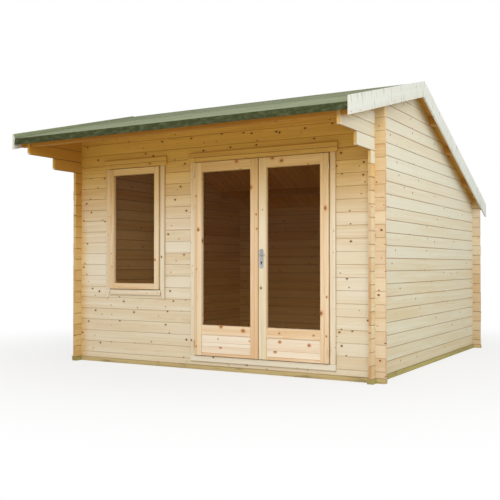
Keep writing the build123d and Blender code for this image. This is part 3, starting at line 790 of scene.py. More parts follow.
def side_face(middle, normal):
    """Inner sides look into the room; in front of the front wall, most faces take honey and painted shade,
    the most in the left corner.
    """
    inward = -normal.x * math.copysign(1, middle.x)
    if inward > 0.3 and abs(middle.y) < ROOM:
        return INDOORS
    if middle.y > -ROOM:
        return WEATHERED
    if normal.y < -0.9:
        return CORNER_FRONT if middle.x < 0 else HALF_UNDER_EAVE
    if inward < 0.3 and normal.z > -0.9:
        return CORNER_LOG if middle.z < EAVE_SHADE else WEATHERED
    return IN_CORNER if middle.x < 0 else UNDER_EAVE


def purlin_face(middle, normal):
    """Undersides at the verges take painted light, paler than the sides."""
    return UNDERSIDE_LIGHT if normal.z < -0.7 and middle.y > -ROOM else WEATHERED


def between_rooms(middle, normal):
    """Door and window timber: a little honey and painted shade under the eave, darker on the room's side, and
    painted light on the sill.
    """
    if middle.z < SILL_TOP:
        return PAINTED_LIGHT
    return INDOORS if normal.y > 0.5 else HALF_UNDER_EAVE


class Boards:
    """Boards gathered into one mesh, each with the run of its own grain."""

    def __init__(self, seed, exposure=outdoors, brown_tips=0.0):
        self.mesh = bmesh.new()
        self.brown_tips = brown_tips
        vectors = self.mesh.verts.layers.float_vector
        self.wood, self.span, self.figure = [vectors.new(name) for name in ("wood", "span", "figure")]
        self.end, self.open = [self.mesh.faces.layers.float.new(name) for name in ("end", "exposure")]
        self.chance = random.Random(seed)
        self.exposure = exposure

    def take(self, shape, along, face):
        """Move a shape in; each of its solids becomes one board with grain along one direction."""
        first = len(self.mesh.verts)
        pour(shape, self.mesh)
        self.mesh.verts.ensure_lookup_table()
        side = along.cross(face).normalized()
        for group in islands(self.mesh.verts[first:]):
            self.grain(group, (along, side, face))

    def tip(self, middle, along):
        """How far the last few centimetres of a log that crosses the side walls have browned."""
        return self.brown_tips if abs(along.x) > 0.9 and abs(middle.x) > ROOM else 0.0

    def grain(self, group, axes):
        """Write where each vertex lies in its board."""
        low = Vector([min(v.co.dot(axis) for v in group) for axis in axes])
        high = Vector([max(v.co.dot(axis) for v in group) for axis in axes])
        heart = (low + high) / 2
        start = self.chance.uniform(0, 40)
        mood = at(self.chance.random(), self.chance.random(), self.chance.random())
        for vert in group:
            local = Vector([vert.co.dot(axis) for axis in axes]) - heart
            vert[self.wood] = local + X * start
            vert[self.span] = (high - low) / 2
            vert[self.figure] = mood
        for piece in {f for v in group for f in v.link_faces}:
            piece.normal_update()
            middle = piece.calc_center_median()
            piece[self.end] = 1.0 if abs(piece.normal.dot(axes[0])) > 0.7 else self.tip(middle, axes[0])
            piece[self.open] = self.exposure(middle, piece.normal)

    def shorten(self, shape, along, most):
        """Saw the ends that project past the walls a little unevenly."""
        for group in islands(shape.verts):
            for way in (along, -along):
                reach = max(v.co.dot(way) for v in group)
                short = self.chance.uniform(0, most)
                for vert in group:
                    if reach > ROOM and vert.co.dot(way) > reach - SAWN_TIP:
                        vert.co -= way * short

    def node(self, name, along, face, radius, cuts=(), trims=(), ragged=0.0):
        """A CAD node with its sharp arrises rounded; cuts are planes that part its long faces."""
        shape = cad_shape(name)
        if ragged:
            self.shorten(shape, along, ragged)
        for place, normal in trims:
            trim(shape, place, normal)
        for place, normal in cuts:
            part(shape, place, normal, 0.0002)
        soften(shape, sharp_edges(shape), radius)
        self.take(shape, along, face)

    def bar(self, low, high, along, face, radius):
        """A square-cut board between two corners."""
        shape = bmesh.new()
        cube(shape, high - low, (low + high) / 2)
        soften(shape, shape.edges[:], radius)
        self.take(shape, along, face)

    def prism(self, outline, across, along, face, radius, mitres=()):
        self.take(extruded(outline, across, radius, mitres), along, face)

    def rail(self, sash, pane, bottom, top):
        """A rail as wide as the pane, between two heights."""
        (low, high), (left, right) = sash, pane
        self.bar(at(left.x + GLUE_GAP, low.y + RAIL_STEP, bottom),
                 at(right.x - GLUE_GAP, high.y - RAIL_STEP, top), X, -Y, LONG_GRAIN)

    def beads(self, low, high, front, back, size):
        """Four mitred glazing beads round an opening in the XZ plane, sloping back to the glass."""
        corners = [at(x, 0, z) for x, z in ((low.x, low.z), (high.x, low.z), (high.x, high.z),
                                            (low.x, high.z))]
        lip = 0.25 * (back - front)
        for i, corner in enumerate(corners):
            run = corners[(i + 1) % 4] - corner
            way = run.normalized()
            inward = (corners[(i + 2) % 4] - corners[(i + 1) % 4]).normalized()
            outline = [corner + Y * front, corner + Y * back, corner + Y * back + inward * size,
                       corner + Y * (back - lip) + inward * size, corner + Y * front + inward * size * 0.3]
            self.prism(outline, run, way, -Y, size * 0.08,
                       ((corner, inward - way), (corner + run, inward + way)))

    def glaze(self, sash, pane, bead):
        """Beads on both sides of a pane, which is set in a leaf or a sash."""
        (low, high), (glass_low, glass_high) = sash, pane
        self.beads(glass_low, glass_high, low.y + BEAD_SUNK, glass_low.y, bead)
        self.beads(glass_low, glass_high, high.y - BEAD_SUNK, glass_high.y, bead * 0.6)

    def stand_in(self, name, material, slot, replaces=(), body="cabin"):
        place_mesh(name, self.mesh, material, body, replaces)


def dress(node, material, along, face, radius, seed, slot, exposure=outdoors, brown_tips=0.0, **shaping):
    """Stand a rounded, grained copy in for one CAD timber node."""
    boards = Boards(seed, exposure, brown_tips)
    boards.node(node, along, face, radius, **shaping)
    boards.stand_in(node + "_timber", material, slot, (node,))


def end_outline(node):
    """Outline of a layer or board at its left end, in order round it."""
    low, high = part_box(node)
    shape = cad_shape(node)
    ends = [v.co.copy() for v in shape.verts if v.co.x < low.x + 0.001]
    shape.free()
    middle = sum(ends, Vector()) / len(ends)
    ends.sort(key=lambda p: math.atan2(p.z - middle.z, p.y - middle.y))
    return ends, low.x, high.x


def upper_edge(node):
    """Lower and upper end of a sloping layer's top edge, at its left end."""
    half = sorted(end_outline(node)[0], key=lambda p: p.y)
    first = max(half[:2], key=lambda p: p.z)
    last = max(half[2:], key=lambda p: p.z)
    return (first, last) if first.z < last.z else (last, first)


def roof_lines():
    """Slope and height at y = 0 of the underside of each half of the roof."""
    lines = []
    for node in ("roof_deck_front", "roof_deck_back"):
        eave, ridge = upper_edge(node)
        rise = (ridge.z - eave.z) / (ridge.y - eave.y)
        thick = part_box(node)[1].z - max(p.z for p in end_outline(node)[0] if p.z < ridge.z - 0.005)
        lines.append((rise, eave.z - eave.y * rise - thick))
    return lines


# ------------------------------------------------------------------ operators
class CabinOperator:
    """What all the cabin's operators share."""
    bl_options = {"REGISTER", "UNDO"}

    def execute(self, context):
        self.build(context.scene.cabin)
        return {"FINISHED"}


class CABIN_OT_log_walls(CabinOperator, bpy.types.Operator):
    """Dress the notched logs of the four walls"""
    bl_idname = "cabin.log_walls"
    bl_label = "Log walls"

    def build(self, settings):
        radius, ragged = settings.timber.arris, settings.timber.ragged
        front, plain = wood(settings, "wall_pine"), wood(settings, "side_pine")
        inner = ROOM - LOG_DEEP
        along_x = [(way * place, way) for way in (X, -X) for place in (inner, ROOM)]
        along_y = [(way * inner, way) for way in (Y, -Y)] + [(-Y * ROOM, Y)]
        walls = (("front", front, X, -Y, 11, front_face, along_x, 0.4),
                 ("back", plain, X, Y, 21, back_face, along_x, 0.5),
                 ("left", plain, Y, -X, 31, side_face, along_y, 0.0),
                 ("right", plain, Y, X, 41, side_face, along_y, 0.0))
        for turn, letter in enumerate("ab"):
            for side, timber, along, face, seed, exposure, cuts, brown_tips in walls:
                dress(side + "_logs_" + letter, timber, along, face, radius, seed + turn, "wall_pine",
                      exposure, brown_tips, cuts=cuts, ragged=ragged)


class CABIN_OT_base(CabinOperator, bpy.types.Operator):
    """Dress the bearers and joists and lay the floor boards"""
    bl_idname = "cabin.base"
    bl_label = "Base and floor"

    SAWN_EDGE = 0.0015      # rounding of bearers and joists
    BOARD_GAP = 0.0005      # between floor boards

    def build(self, settings):
        treated, greener = wood(settings, "treated_bearer"), wood(settings, "treated_side")
        bearers = (("side_bearers", greener, Y, X), ("cross_bearers", treated, X, -Y),
                   ("floor_joists", greener, Y, X))
        for seed, (node, timber, along, face) in enumerate(bearers, 51):
            dress(node, timber, along, face, self.SAWN_EDGE, seed, "treated_bearer")
        low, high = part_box("floor")
        count = round((high.y - low.y) / settings.base.floor_board)
        width = (high.y - low.y) / count
        boards = Boards(54)
        for i in range(count):
            start = low.y + i * width
            stop = start + width - self.BOARD_GAP
            boards.bar(at(low.x, start, low.z), at(high.x, stop, high.z), X, Z, 0.001)
        boards.stand_in("floor_boards", wood(settings, "floor_pine"), "floor_pine", ("floor",))


class CABIN_OT_roof_boards(CabinOperator, bpy.types.Operator):
    """Lay roof boards from the eaves to the ridge and dress purlins and eave battens"""
    bl_idname = "cabin.roof_boards"
    bl_label = "Roof boards and purlins"

    BOARD_GAP = 0.0004      # between roof boards
    BOARD_EDGE = 0.0022     # rounding of the roof boards, which makes their V joints
    BEAM_EDGE = 0.002       # rounding of purlins and eave battens

    def build(self, settings):
        for seed, node in enumerate(("roof_deck_front", "roof_deck_back"), 61):
            outline, start, stop = end_outline(node)
            eave, ridge = upper_edge(node)
            outline = self.eased(outline, eave)
            up = (ridge - eave).normalized()
            count = round((stop - start) / settings.roof.board)
            width = (stop - start) / count
            boards = Boards(seed, under_roof)
            for i in range(count):
                shift = X * (i * width)
                boards.prism([p + shift for p in outline], X * (width - self.BOARD_GAP), up,
                             X.cross(up), self.BOARD_EDGE)
            boards.stand_in(node + "_boards", wood(settings, "roof_pine"), "roof_pine", (node,))
        beam = wood(settings, "purlin_pine")
        dress("purlins", beam, X, -Y, self.BEAM_EDGE, 63, "roof_pine", purlin_face)
        dress("eave_battens", beam, X, -Y, self.BEAM_EDGE, 64, "roof_pine")

    def eased(self, outline, corner, most=0.009):
        """The outline with one corner planed off, where the felt folds over it."""
        points = []
        for i, point in enumerate(outline):
            if (point - corner).length > 1e-5:
                points.append(point)
                continue
            for other in (outline[i - 1], outline[(i + 1) % len(outline)]):
                points.append(point + (other - point).normalized() * most)
        return points


class CABIN_OT_bargeboards(CabinOperator, bpy.types.Operator):
    """Dress the bargeboards, cut plumb at the eaves and the ridge"""
    bl_idname = "cabin.bargeboards"
    bl_label = "Bargeboards"

    def build(self, settings):
        pale = wood(settings, "pale_board")
        for seed, (node, way) in enumerate((("bargeboards_front", Y), ("bargeboards_back", -Y)), 71):
            eave, ridge = upper_edge(node)
            slot_edge = ridge - way * settings.roof.apex_slot / 2
            dress(node, pale, (ridge - eave).normalized(), X, settings.timber.board_arris, seed,
                  "board_pale", trims=[(slot_edge, way)])


class CABIN_OT_felt(CabinOperator, bpy.types.Operator):
    """Cover both slopes with lapped felt, folded over the eaves and dressed up the bargeboards"""
    bl_idname = "cabin.felt"
    bl_label = "Roofing felt"

    COLUMNS = 56            # of each sheet's grid
    ROWS = 24               # in a metre up the slope
    SIDE_GAP = 0.0006       # between a sheet and the bargeboards' line
    LIFT = 0.0022           # how far an upper sheet is raised where it starts on a lower one
    STRIP = 0.0028          # thickness of the strips against the bargeboards
    STRIP_GAP = 0.0004      # between a strip and the bargeboards' line
    STRIP_BELOW = 0.0015    # how far a strip stays below the bargeboard's top edge

    def build(self, settings):
        roof = settings.roof
        self.mesh = bmesh.new()
        self.mesh.verts.layers.float_vector.new("sheet")
        front, back = upper_edge("felt_front"), upper_edge("felt_back")
        over = (back[0] - back[1]).normalized()
        first, lap = roof.lap_from_eave, roof.lap_cover
        self.sheet(roof, *front, self.hem(front[0]), first + lap, 0, 1)
        self.sheet(roof, *front, first, None, 1, 2, over)
        self.sheet(roof, *back, self.hem(back[0]), first + lap, 0, 3)
        self.sheet(roof, *back, first, 2 * first, 1, 4)
        self.sheet(roof, *back, 2 * first - lap, (back[1] - back[0]).length, 2, 5)
        self.upstands()
        place_mesh("roof_felt_sheets", self.mesh, mineral_felt(roof), "cabin",
                   ("felt_front", "felt_back", "felt_flaps"), smooth=40)

    def hem(self, eave):
        """Where a sheet starts, as a distance up the slope: below 0, because it hangs over the eave."""
        shape = cad_shape("felt_flaps")
        low = min(v.co.z for v in shape.verts if v.co.y * eave.y > 0)
        shape.free()
        return -(eave.z - low)

    def rows(self, start, ends, bend, turn, tangent):
        """Distances up the slope of a sheet's rows, close together round the fold."""
        rows = [start]
        if start < 0:
            hem = tangent - bend * turn
            rows = [start + (hem - start) * i / 3 for i in range(4)]
            rows += [hem + bend * turn * i / 8 for i in range(1, 9)]
        for end in ends:
            first, steps = rows[-1], max(3, round((end - rows[-1]) * self.ROWS))
            rows += [first + (end - first) * i / steps for i in range(1, steps + 1)]
        return rows

    def sheet(self, roof, eave, ridge, start, stop, lap, seed, over=None):
        """One width of felt from start to stop up the slope; over leads it on past the ridge."""
        up = (ridge - eave).normalized()
        out = X.cross(up) if X.cross(up).z > 0 else up.cross(X)
        length = (ridge - eave).length
        low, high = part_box("felt_front")
        bend = roof.felt_fold
        turn = math.acos(out.dot(at(0, eave.y, 0).normalized()))
        tangent = bend * math.tan(turn / 2)
        rows = self.rows(start, (stop,) if over is None else (length, length + roof.ridge_lap),
                         bend, turn, tangent)
        shape = bmesh.new()
        wear_and_hem_shade = shape.verts.layers.float_vector.new("sheet")
        bmesh.ops.create_grid(shape, x_segments=self.COLUMNS, y_segments=len(rows) - 1, size=0.5)
        for vert in shape.verts:
            run = rows[round((vert.co.y + 0.5) * (len(rows) - 1))]
            x = low.x + self.SIDE_GAP + (high.x - low.x - 2 * self.SIDE_GAP) * (vert.co.x + 0.5)
            wave = noise.noise(at(x * 1.7, run * 2.3, seed * 7.1))
            fine = noise.noise(at(x * 7.0, run * 5.0, seed * 3.3))
            rise = -0.0012 + 0.0009 * wave + 0.0004 * fine
            if lap:
                rise += self.LIFT * max(0.0, 1.0 - (run - start) / (roof.lap_cover * 2.2))
            if run <= tangent:
                spot = self.folded(eave, up, out, turn, run, bend, rise, x)
            elif over is not None and run > length - 1e-6:
                spot = ridge + over * (run - length) + out * rise + Z * 0.0012
            else:
                spot = eave + up * run + out * rise
            vert.co = at(x, spot.y, spot.z)
            hang = min(1.0, max(0.0, (tangent - run) / tangent))
            # The first value, how far the sheet hangs here, sets the turned-down edges' painted shade
            vert[wear_and_hem_shade] = (hang, 1.0 if lap and eave.y < 0 else 0.5 * lap, 0.0)
        bmesh.ops.recalc_face_normals(shape, faces=shape.faces)
        top = max(shape.faces, key=lambda f: f.calc_center_median().z)
        if top.normal.z < 0:
            bmesh.ops.reverse_faces(shape, faces=shape.faces)
        bmesh.ops.solidify(shape, geom=shape.faces[:], thickness=roof.felt_thickness)
        bmesh.ops.recalc_face_normals(shape, faces=shape.faces)
        pour(shape, self.mesh)

    def folded(self, eave, up, out, turn, run, bend, rise, x):
        """A point where the sheet rounds the eave and hangs down."""
        arc = bend * turn
        tangent = bend * math.tan(turn / 2)
        heart = eave + up * tangent - out * bend
        reach = tangent - run
        if reach < arc:
            angle = reach / bend
            return heart + (out * math.cos(angle) - up * math.sin(angle)) * (bend + rise)
        down = reach - arc
        ripple = 0.0012 * noise.noise(at(x * 5.0, 0.0, 9.0)) * min(1.0, down / 0.03)
        edge = heart + (out * math.cos(turn) - up * math.sin(turn)) * (bend + rise + ripple)
        return edge - Z * down

    def upstands(self):
        """Strips of felt turned up against the inner faces of the bargeboards."""
        for side in ("front", "back"):
            eave, ridge = upper_edge("felt_" + side)
            low, high = upper_edge("bargeboards_" + side)
            near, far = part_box("felt_" + side)
            below = Z * self.STRIP_BELOW
            for start, way in ((near.x + self.STRIP_GAP, 1), (far.x - self.STRIP_GAP, -1)):
                outline = [at(start, p.y, p.z) for p in (eave, ridge, high - below, low - below)]
                pour(extruded(outline, X * way * self.STRIP, FINE_EDGE), self.mesh)


class CABIN_OT_frames(CabinOperator, bpy.types.Operator):
    """Dress the jambs, casings, head boards and stops of the door and the window"""
    bl_idname = "cabin.frames"
    bl_label = "Door and window frames"

    EDGE = 0.0022           # rounding of jambs and casings
    STOP_EDGE = 0.0015      # rounding of the stops
    HEAD_EDGE = 0.0025      # rounding of the head boards
    FOOT = 0.42             # share of a casing end's width that is left at its foot
    NAIL_STEP = 0.3         # between nails down a casing
    NAIL_INSET = 0.016      # from the casing's outer edge
    NAIL = (0.0028, 0.0012, 10)     # radius, height and sides of a nail head

    def build(self, settings):
        trim_wood = wood(settings, "trim_pine")
        pieces = (("_jambs", Z, self.EDGE), ("_head_and_sill", X, self.EDGE),
                  ("_stops", Z, self.STOP_EDGE), ("_cross_stops", X, self.STOP_EDGE))
        for side, first in (("door", 61), ("window", 71)):
            for seed, (piece, along, radius) in enumerate(pieces, first):
                dress(side + piece, trim_wood, along, -Y, radius, seed, "trim_pine", between_rooms)
            self.head_board(settings, side, trim_wood, first + 28)
        self.horns(trim_wood)
        self.nails()

    def head_board(self, settings, side, timber, seed):
        """A moulded head board: a plain upper strip over a rebated lower one with full-height ears."""
        node = side + "_head_board"
        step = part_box(node)[0] + Z * settings.joinery.head_step
        boards = Boards(seed, over_opening)
        for way in (Z, -Z):
            boards.node(node, X, -Y, self.HEAD_EDGE, trims=[(step - way * RAIL_STEP, way)])
        boards.stand_in(node + "_timber", timber, "trim_pine", (node,))

    def horns(self, timber):
        """The casings' ends below the window, each cut away on its inner side."""
        node = "window_casing_ends"
        boards = Boards(99, between_rooms)
        low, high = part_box(node)
        shape = cad_shape(node)
        middle = (low.x + high.x) / 2
        for side in (-1, 1):
            places = [v.co.x for v in shape.verts if (v.co.x - middle) * side > 0]
            outer, inner = sorted((min(places), max(places)), key=lambda x: -x * side)
            foot = outer + (inner - outer) * self.FOOT
            outline = [at(x, low.y, z) for x, z in
                       ((outer, high.z), (inner, high.z), (foot, low.z), (outer, low.z))]
            boards.prism(outline, Y * (high.y - low.y), Z, -Y, LONG_GRAIN)
        shape.free()
        boards.stand_in(node + "_timber", timber, "trim_pine", (node,))

    def nails(self):
        """Small sunk nail heads down the casings."""
        chance = random.Random(97)
        shape = bmesh.new()
        for node in ("door_jambs", "window_jambs"):
            low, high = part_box(node)
            count = round((high.z - low.z) / self.NAIL_STEP)
            for edge in (low.x + self.NAIL_INSET, high.x - self.NAIL_INSET):
                for i in range(count):
                    up = low.z + (high.z - low.z) * (i + 0.5) / count + chance.uniform(-0.03, 0.03)
                    spot = at(edge + chance.uniform(-0.006, 0.02), low.y, up)
                    turned(shape, spot, Y, *self.NAIL)
        place_mesh("casing_nails", shape, shared("nail_heads", steel, tone(92, 78, 60), 0.6, 90.0),
                   smooth=40)


class CABIN_OT_doors(CabinOperator, bpy.types.Operator):
    """Build the two glazed leaves from stiles, rails, beads and panel boards"""
    bl_idname = "cabin.doors"
    bl_label = "Door leaves"

    PANEL_EDGE = 0.003      # rounding of the panel boards

    def build(self, settings):
        j = settings.joinery
        self.leaf(settings, "left", (j.stile_line_left, j.stile_line_meeting),
                  (j.left_joint_low, j.left_joint_high), 101, False)
        self.leaf(settings, "right", (None, j.stile_line_right), (j.right_joint,), 111, True)

    def stile(self, boards, low, high, line):
        """A stile of one board, or of two glued side by side at line from its left edge."""
        if line is None:
            boards.bar(low, high, Z, -Y, STILE_EDGE)
            return
        split = low.x + line
        boards.bar(low, at(split - GLUE_GAP, high.y, high.z), Z, -Y, LONG_GRAIN)
        boards.bar(at(split + GLUE_GAP, low.y, low.z), high, Z, -Y, LONG_GRAIN)

    def leaf(self, settings, side, lines, joints, seed, meeting):
        """One leaf; lines are its stiles' glue lines, joints the heights of its panel's."""
        leaf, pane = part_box(side + "_leaf"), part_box(side + "_pane")
        (low, high), (left, right) = leaf, pane
        panel_low, panel_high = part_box(side + "_panel")
        body = side + "_door"
        timber, pale, panel = [Boards(seed + turn, between_rooms) for turn in range(3)]
        self.stile(pale if meeting else timber, low, at(left.x, high.y, high.z), lines[0])
        self.stile(timber, at(right.x, low.y, low.z), high, left.x - low.x - lines[1])
        for bottom, top in ((low.z, panel_low.z), (panel_high.z, left.z), (right.z, high.z)):
            timber.rail(leaf, pane, bottom, top)
        timber.glaze(leaf, pane, settings.joinery.bead)
        timber.stand_in(side + "_leaf_timber", wood(settings, "door_pine"), "door_pine", (side + "_leaf",),
                        body)
        if meeting:
            pale.stand_in(side + "_leaf_meeting_stile", wood(settings, "meeting_pine"), "door_pine", (),
                          body)
        else:
            pale.mesh.free()
        edges = [panel_low.z, *joints, panel_high.z]
        for bottom, top in zip(edges, edges[1:]):
            panel.bar(at(panel_low.x + GLUE_GAP, panel_low.y, bottom + GLUE_GAP),
                      at(panel_high.x - GLUE_GAP, panel_high.y, top - GLUE_GAP), X, -Y, self.PANEL_EDGE)
        panel.stand_in(side + "_panel_boards", wood(settings, "panel_pine"), "door_pine",
                       (side + "_panel",), body)


class CABIN_OT_window(CabinOperator, bpy.types.Operator):
    """Build the window's sash from stiles, rails and beads"""
    bl_idname = "cabin.window"
    bl_label = "Window sash"

    def build(self, settings):
        sash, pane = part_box("window_sash"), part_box("window_pane")
        (low, high), (left, right) = sash, pane
        boards = Boards(121, between_rooms)
        for a, b in ((low.x, left.x), (right.x, high.x)):
            boards.bar(at(a, low.y, low.z), at(b, high.y, high.z), Z, -Y, STILE_EDGE)
        for bottom, top in ((low.z, left.z), (right.z, high.z)):
            boards.rail(sash, pane, bottom, top)
        boards.glaze(sash, pane, settings.joinery.bead)
        boards.stand_in("window_sash_timber", wood(settings, "sash_pine"), "door_pine", ("window_sash",))


class CABIN_OT_glass(CabinOperator, bpy.types.Operator):
    """Glaze the doors and the window"""
    bl_idname = "cabin.glass"
    bl_label = "Glass"

    def build(self, settings):
        for node in ("left_pane", "right_pane", "window_pane"):
            for place in NODES[node].material_slots:
                place.material = shared("window_glass", clear_glass, settings.fittings)


class CABIN_OT_fittings(CabinOperator, bpy.types.Operator):
    """Build hinge knuckles, the lock plate with its keyhole and screws, and the lever"""
    bl_idname = "cabin.fittings"
    bl_label = "Hinges and lock"

    KNUCKLES = ((0.0, 0.3), (0.31, 0.69), (0.7, 1.0))   # shares of a hinge's height
    PIN_END = 0.62          # radius of the pin's ends, as a share of the knuckle's
    RIM = (0.003, 0.0007)   # width and height of the plate's rim
    SCREW_INSET = 0.013     # from the plate's ends
    NECK = 0.0078           # radius of the lever's neck
    COLLAR = (0.0125, 0.006, 40, 0.0145)    # radius, length, sides and outer radius

    def build(self, settings):
        self.hinges(settings, "left", 1)
        self.hinges(settings, "right", -1)
        self.plate(settings)
        self.lever(settings)

    def hinges(self, settings, side, inward):
        """Three-knuckle hinges on their pins, each with a plate on the leaf's edge."""
        low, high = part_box(side + "_hinges")
        fittings = settings.fittings
        knuckle, height = fittings.knuckle, fittings.hinge_height
        outer, edge = (box[0 if inward > 0 else 1].x for box in ((low, high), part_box(side + "_leaf")))
        axis = at(outer + knuckle * inward, low.y + knuckle, 0)
        bottoms = (low.z, high.z - height)
        shape = bmesh.new()
        for bottom in bottoms:
            for start, stop in self.KNUCKLES:
                middle = axis + Z * (bottom + height * (start + stop) / 2)
                turned(shape, middle, Z, knuckle - 0.0004, height * (stop - start))
            for end in (0.0, 1.0):
                ball(shape, knuckle * self.PIN_END, 8, axis + Z * (bottom + height * end))
        wing_low, wing_high = sorted((edge, edge - fittings.hinge_plate * inward))
        for bottom in bottoms:
            wing = at(wing_low, axis.y, bottom + 0.001), at(wing_high, high.y, bottom + height - 0.001)
            cube(shape, wing[1] - wing[0], (wing[0] + wing[1]) / 2)
        soften(shape, sharp_edges(shape, 40), 0.0004)
        place_mesh(side + "_hinge_knuckles", shape, hinge_plating(settings), side + "_door",
                   (side + "_hinges",), smooth=35)

    def plate(self, settings):
        """Long plate with rounded ends, a raised rim, keyhole and two screws."""
        low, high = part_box("lock_plate")
        shape = cad_shape("lock_plate")
        front = max((f for f in shape.faces if f.normal.y < -0.9), key=lambda f: f.calc_area())
        bmesh.ops.inset_region(shape, faces=[front], thickness=self.RIM[0], use_even_offset=True)
        bmesh.ops.translate(shape, vec=Y * self.RIM[1], verts=front.verts)
        soften(shape, sharp_edges(shape, 60), FINE_EDGE)
        place_mesh("lock_plate_steel", shape, bright_steel(settings), "right_door", ("lock_plate",),
                   smooth=30)
        middle = (low + high) / 2
        screws, slots = bmesh.new(), bmesh.new()
        screw = settings.fittings.screw
        for end in (low.z + self.SCREW_INSET, high.z - self.SCREW_INSET):
            head = at(middle.x, low.y + 0.0002, end)
            ball(screws, screw, 10, head, (1, 0.4, 1))
            for size in ((0.0044, 0.0006, 0.001), (0.001, 0.0006, 0.0044)):
                cube(slots, size, head - Y * screw * 0.38)
        place_mesh("lock_plate_screws", screws, hinge_plating(settings), "right_door", (),
                   smooth=60)
        hole = at(middle.x, low.y + 0.0005, settings.fittings.keyhole)
        turned(slots, hole, Y, 0.0085, 0.002, 32)
        cube(slots, (0.01, 0.002, 0.017), hole - Z * 0.0105)
        # Painted shade: dark shapes stand in for the shadowed insides of the keyhole and the screws' slots
        place_mesh("lock_plate_recesses", slots, shared("dark_recess", hole_shade), "right_door")

    def lever(self, settings):
        """Round neck with a collar and a grip that tapers to a rounded end."""
        (low, high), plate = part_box("lever"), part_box("lock_plate")
        front = plate[0].y
        grip = settings.fittings.grip
        neck = at((plate[0].x + plate[1].x) / 2, 0, (low.z + high.z) / 2)
        reach = front - (low.y + grip / 2)
        shape = bmesh.new()
        turned(shape, neck + Y * (front - reach / 2 - 0.0006), Y, self.NECK, reach, 32)
        turned(shape, neck + Y * (front - 0.0036), Y, *self.COLLAR)
        middle = at((low.x + high.x) / 2, low.y + grip / 2, neck.z)
        verts = cube(shape, at(high.x - low.x - 0.002, grip, 0.017), middle)
        bmesh.ops.scale(shape, vec=(1, 0.8, 0.75), verts=[v for v in verts if v.co.x > middle.x],
                        space=Matrix.Translation(-at(high.x, middle.y, middle.z)))
        block = set(verts)
        soften(shape, [e for e in shape.edges if block.issuperset(e.verts)], 0.0048, 4)
        soften(shape, sharp_edges(shape, 50), FINE_EDGE)
        place_mesh("lever_steel", shape, bright_steel(settings), "handle", ("lever",),
                   smooth=40)


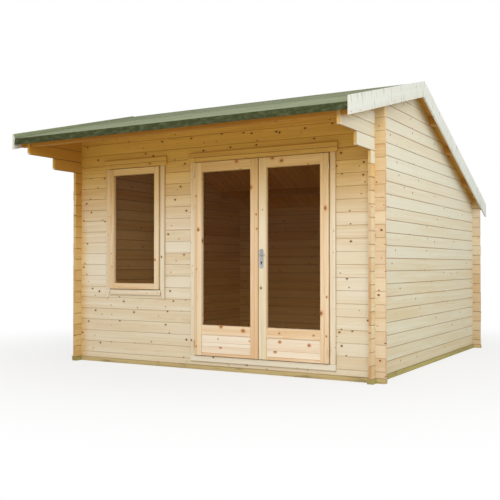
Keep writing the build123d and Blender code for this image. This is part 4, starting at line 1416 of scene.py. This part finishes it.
class CABIN_OT_stage(CabinOperator, bpy.types.Operator):
    """Set the camera, the lamps, the floor and the backdrop"""
    bl_idname = "cabin.stage"
    bl_label = "Stage"

    FLOOR_HALF = 60         # half the floor's width, in metres
    WHITER = {"From Min": 2.2, "From Max": 5.5, "To Min": 0.72, "To Max": 1.0}  # by metres from the middle

    def build(self, settings):
        stage = settings.stage
        scene = bpy.context.scene
        scene.view_settings.view_transform = "Standard"
        self.camera(stage, scene)
        self.world(stage, scene)
        self.floor(stage)
        self.lamp("key_lamp", at(4.0, -9.2, 6.0), 6.0, stage.key)
        self.lamp("side_lamp", at(9.0, -2.0, 5.0), 5.0, stage.side)

    def camera(self, stage, scene):
        data = bpy.data.cameras.new("camera")
        data.sensor_width = 36
        data.lens = stage.lens
        data.shift_x = stage.shift_x
        data.shift_y = stage.shift_y
        data.clip_end = 200
        scene.camera = add_object("camera", data)
        scene.camera.location = stage.eye
        scene.camera.rotation_euler = (math.radians(90) + stage.tilt, 0, stage.turn)

    def world(self, stage, scene):
        """Even light that is white where it is seen, also in the steel and through the glass."""
        scene.world = bpy.data.worlds.new("studio")
        scene.world.use_nodes = True
        s = Nodes(scene.world.node_tree)
        seen = s.math("MAXIMUM", s.math("MAXIMUM", s.ray("Camera"), s.ray("Transmission")), s.ray("Glossy"))
        strength = s.node("MapRange", inputs={"Value": seen, "To Min": stage.sky, "To Max": 1.0})
        s.output("World", s.node("Background", inputs={"Color": (1, 1, 1), "Strength": strength}))

    def floor(self, stage):
        """A pale floor that brightens to white away from the cabin."""
        mesh = bmesh.new()
        bmesh.ops.create_grid(mesh, x_segments=1, y_segments=1, size=self.FLOOR_HALF)
        data = bpy.data.meshes.new("studio_floor")
        mesh.to_mesh(data)
        mesh.free()
        s = Shader("studio_floor")
        far = s.node("VectorMath", "Value", {0: s.place()}, operation="LENGTH")
        whiter = s.node("MapRange", inputs={"Value": far, **self.WHITER}, interpolation_type="SMOOTHSTEP")
        s.output("Material", s.node("MixShader", inputs={
            0: s.times(s.ray("Camera"), whiter), 1: s.node("BsdfDiffuse", inputs={"Color": stage.floor}),
            2: s.node("Emission")}))
        data.materials.append(s.material)
        add_object("studio_floor", data)

    def lamp(self, name, place, size, power):
        data = bpy.data.lights.new(name, "AREA")
        data.size = size
        data.energy = power
        lamp = add_object(name, data)
        lamp.location = place
        aim = (CAD_BOX[0] + CAD_BOX[1]) / 2 - place
        lamp.rotation_euler = aim.to_track_quat("-Z", "Y").to_euler()


PIECES = (CABIN_OT_log_walls, CABIN_OT_base, CABIN_OT_roof_boards, CABIN_OT_bargeboards, CABIN_OT_felt,
          CABIN_OT_frames, CABIN_OT_doors, CABIN_OT_window, CABIN_OT_glass, CABIN_OT_fittings,
          CABIN_OT_stage)


class CABIN_PT_panel(bpy.types.Panel):
    """Lists the cabin's pieces and settings"""
    bl_idname = "CABIN_PT_panel"
    bl_label = "Log Cabin"
    bl_space_type = "VIEW_3D"
    bl_region_type = "UI"
    bl_category = "Log Cabin"

    def draw(self, context):
        layout = self.layout
        for operator in PIECES:
            layout.operator(operator.bl_idname)
        for group in ("timber", "base", "roof", "joinery", "fittings", "stage"):
            box = layout.box()
            box.label(text=group.capitalize())
            values = getattr(context.scene.cabin, group)
            for name in values.bl_rna.properties.keys():
                if name not in ("name", "rna_type"):
                    box.prop(values, name)


CLASSES = (CabinTimber, CabinBase, CabinRoof, CabinJoinery, CabinFittings, CabinStage, CabinSettings,
           *PIECES, CABIN_PT_panel)


def register():
    for cls in CLASSES:
        bpy.utils.register_class(cls)
    bpy.types.Scene.cabin = PointerProperty(type=CabinSettings)


def unregister():
    del bpy.types.Scene.cabin
    for cls in reversed(CLASSES):
        bpy.utils.unregister_class(cls)


def main():
    register()
    for operator in PIECES:
        group, name = operator.bl_idname.split(".")
        getattr(getattr(bpy.ops, group), name)()


if __name__ == "__main__":
    main()
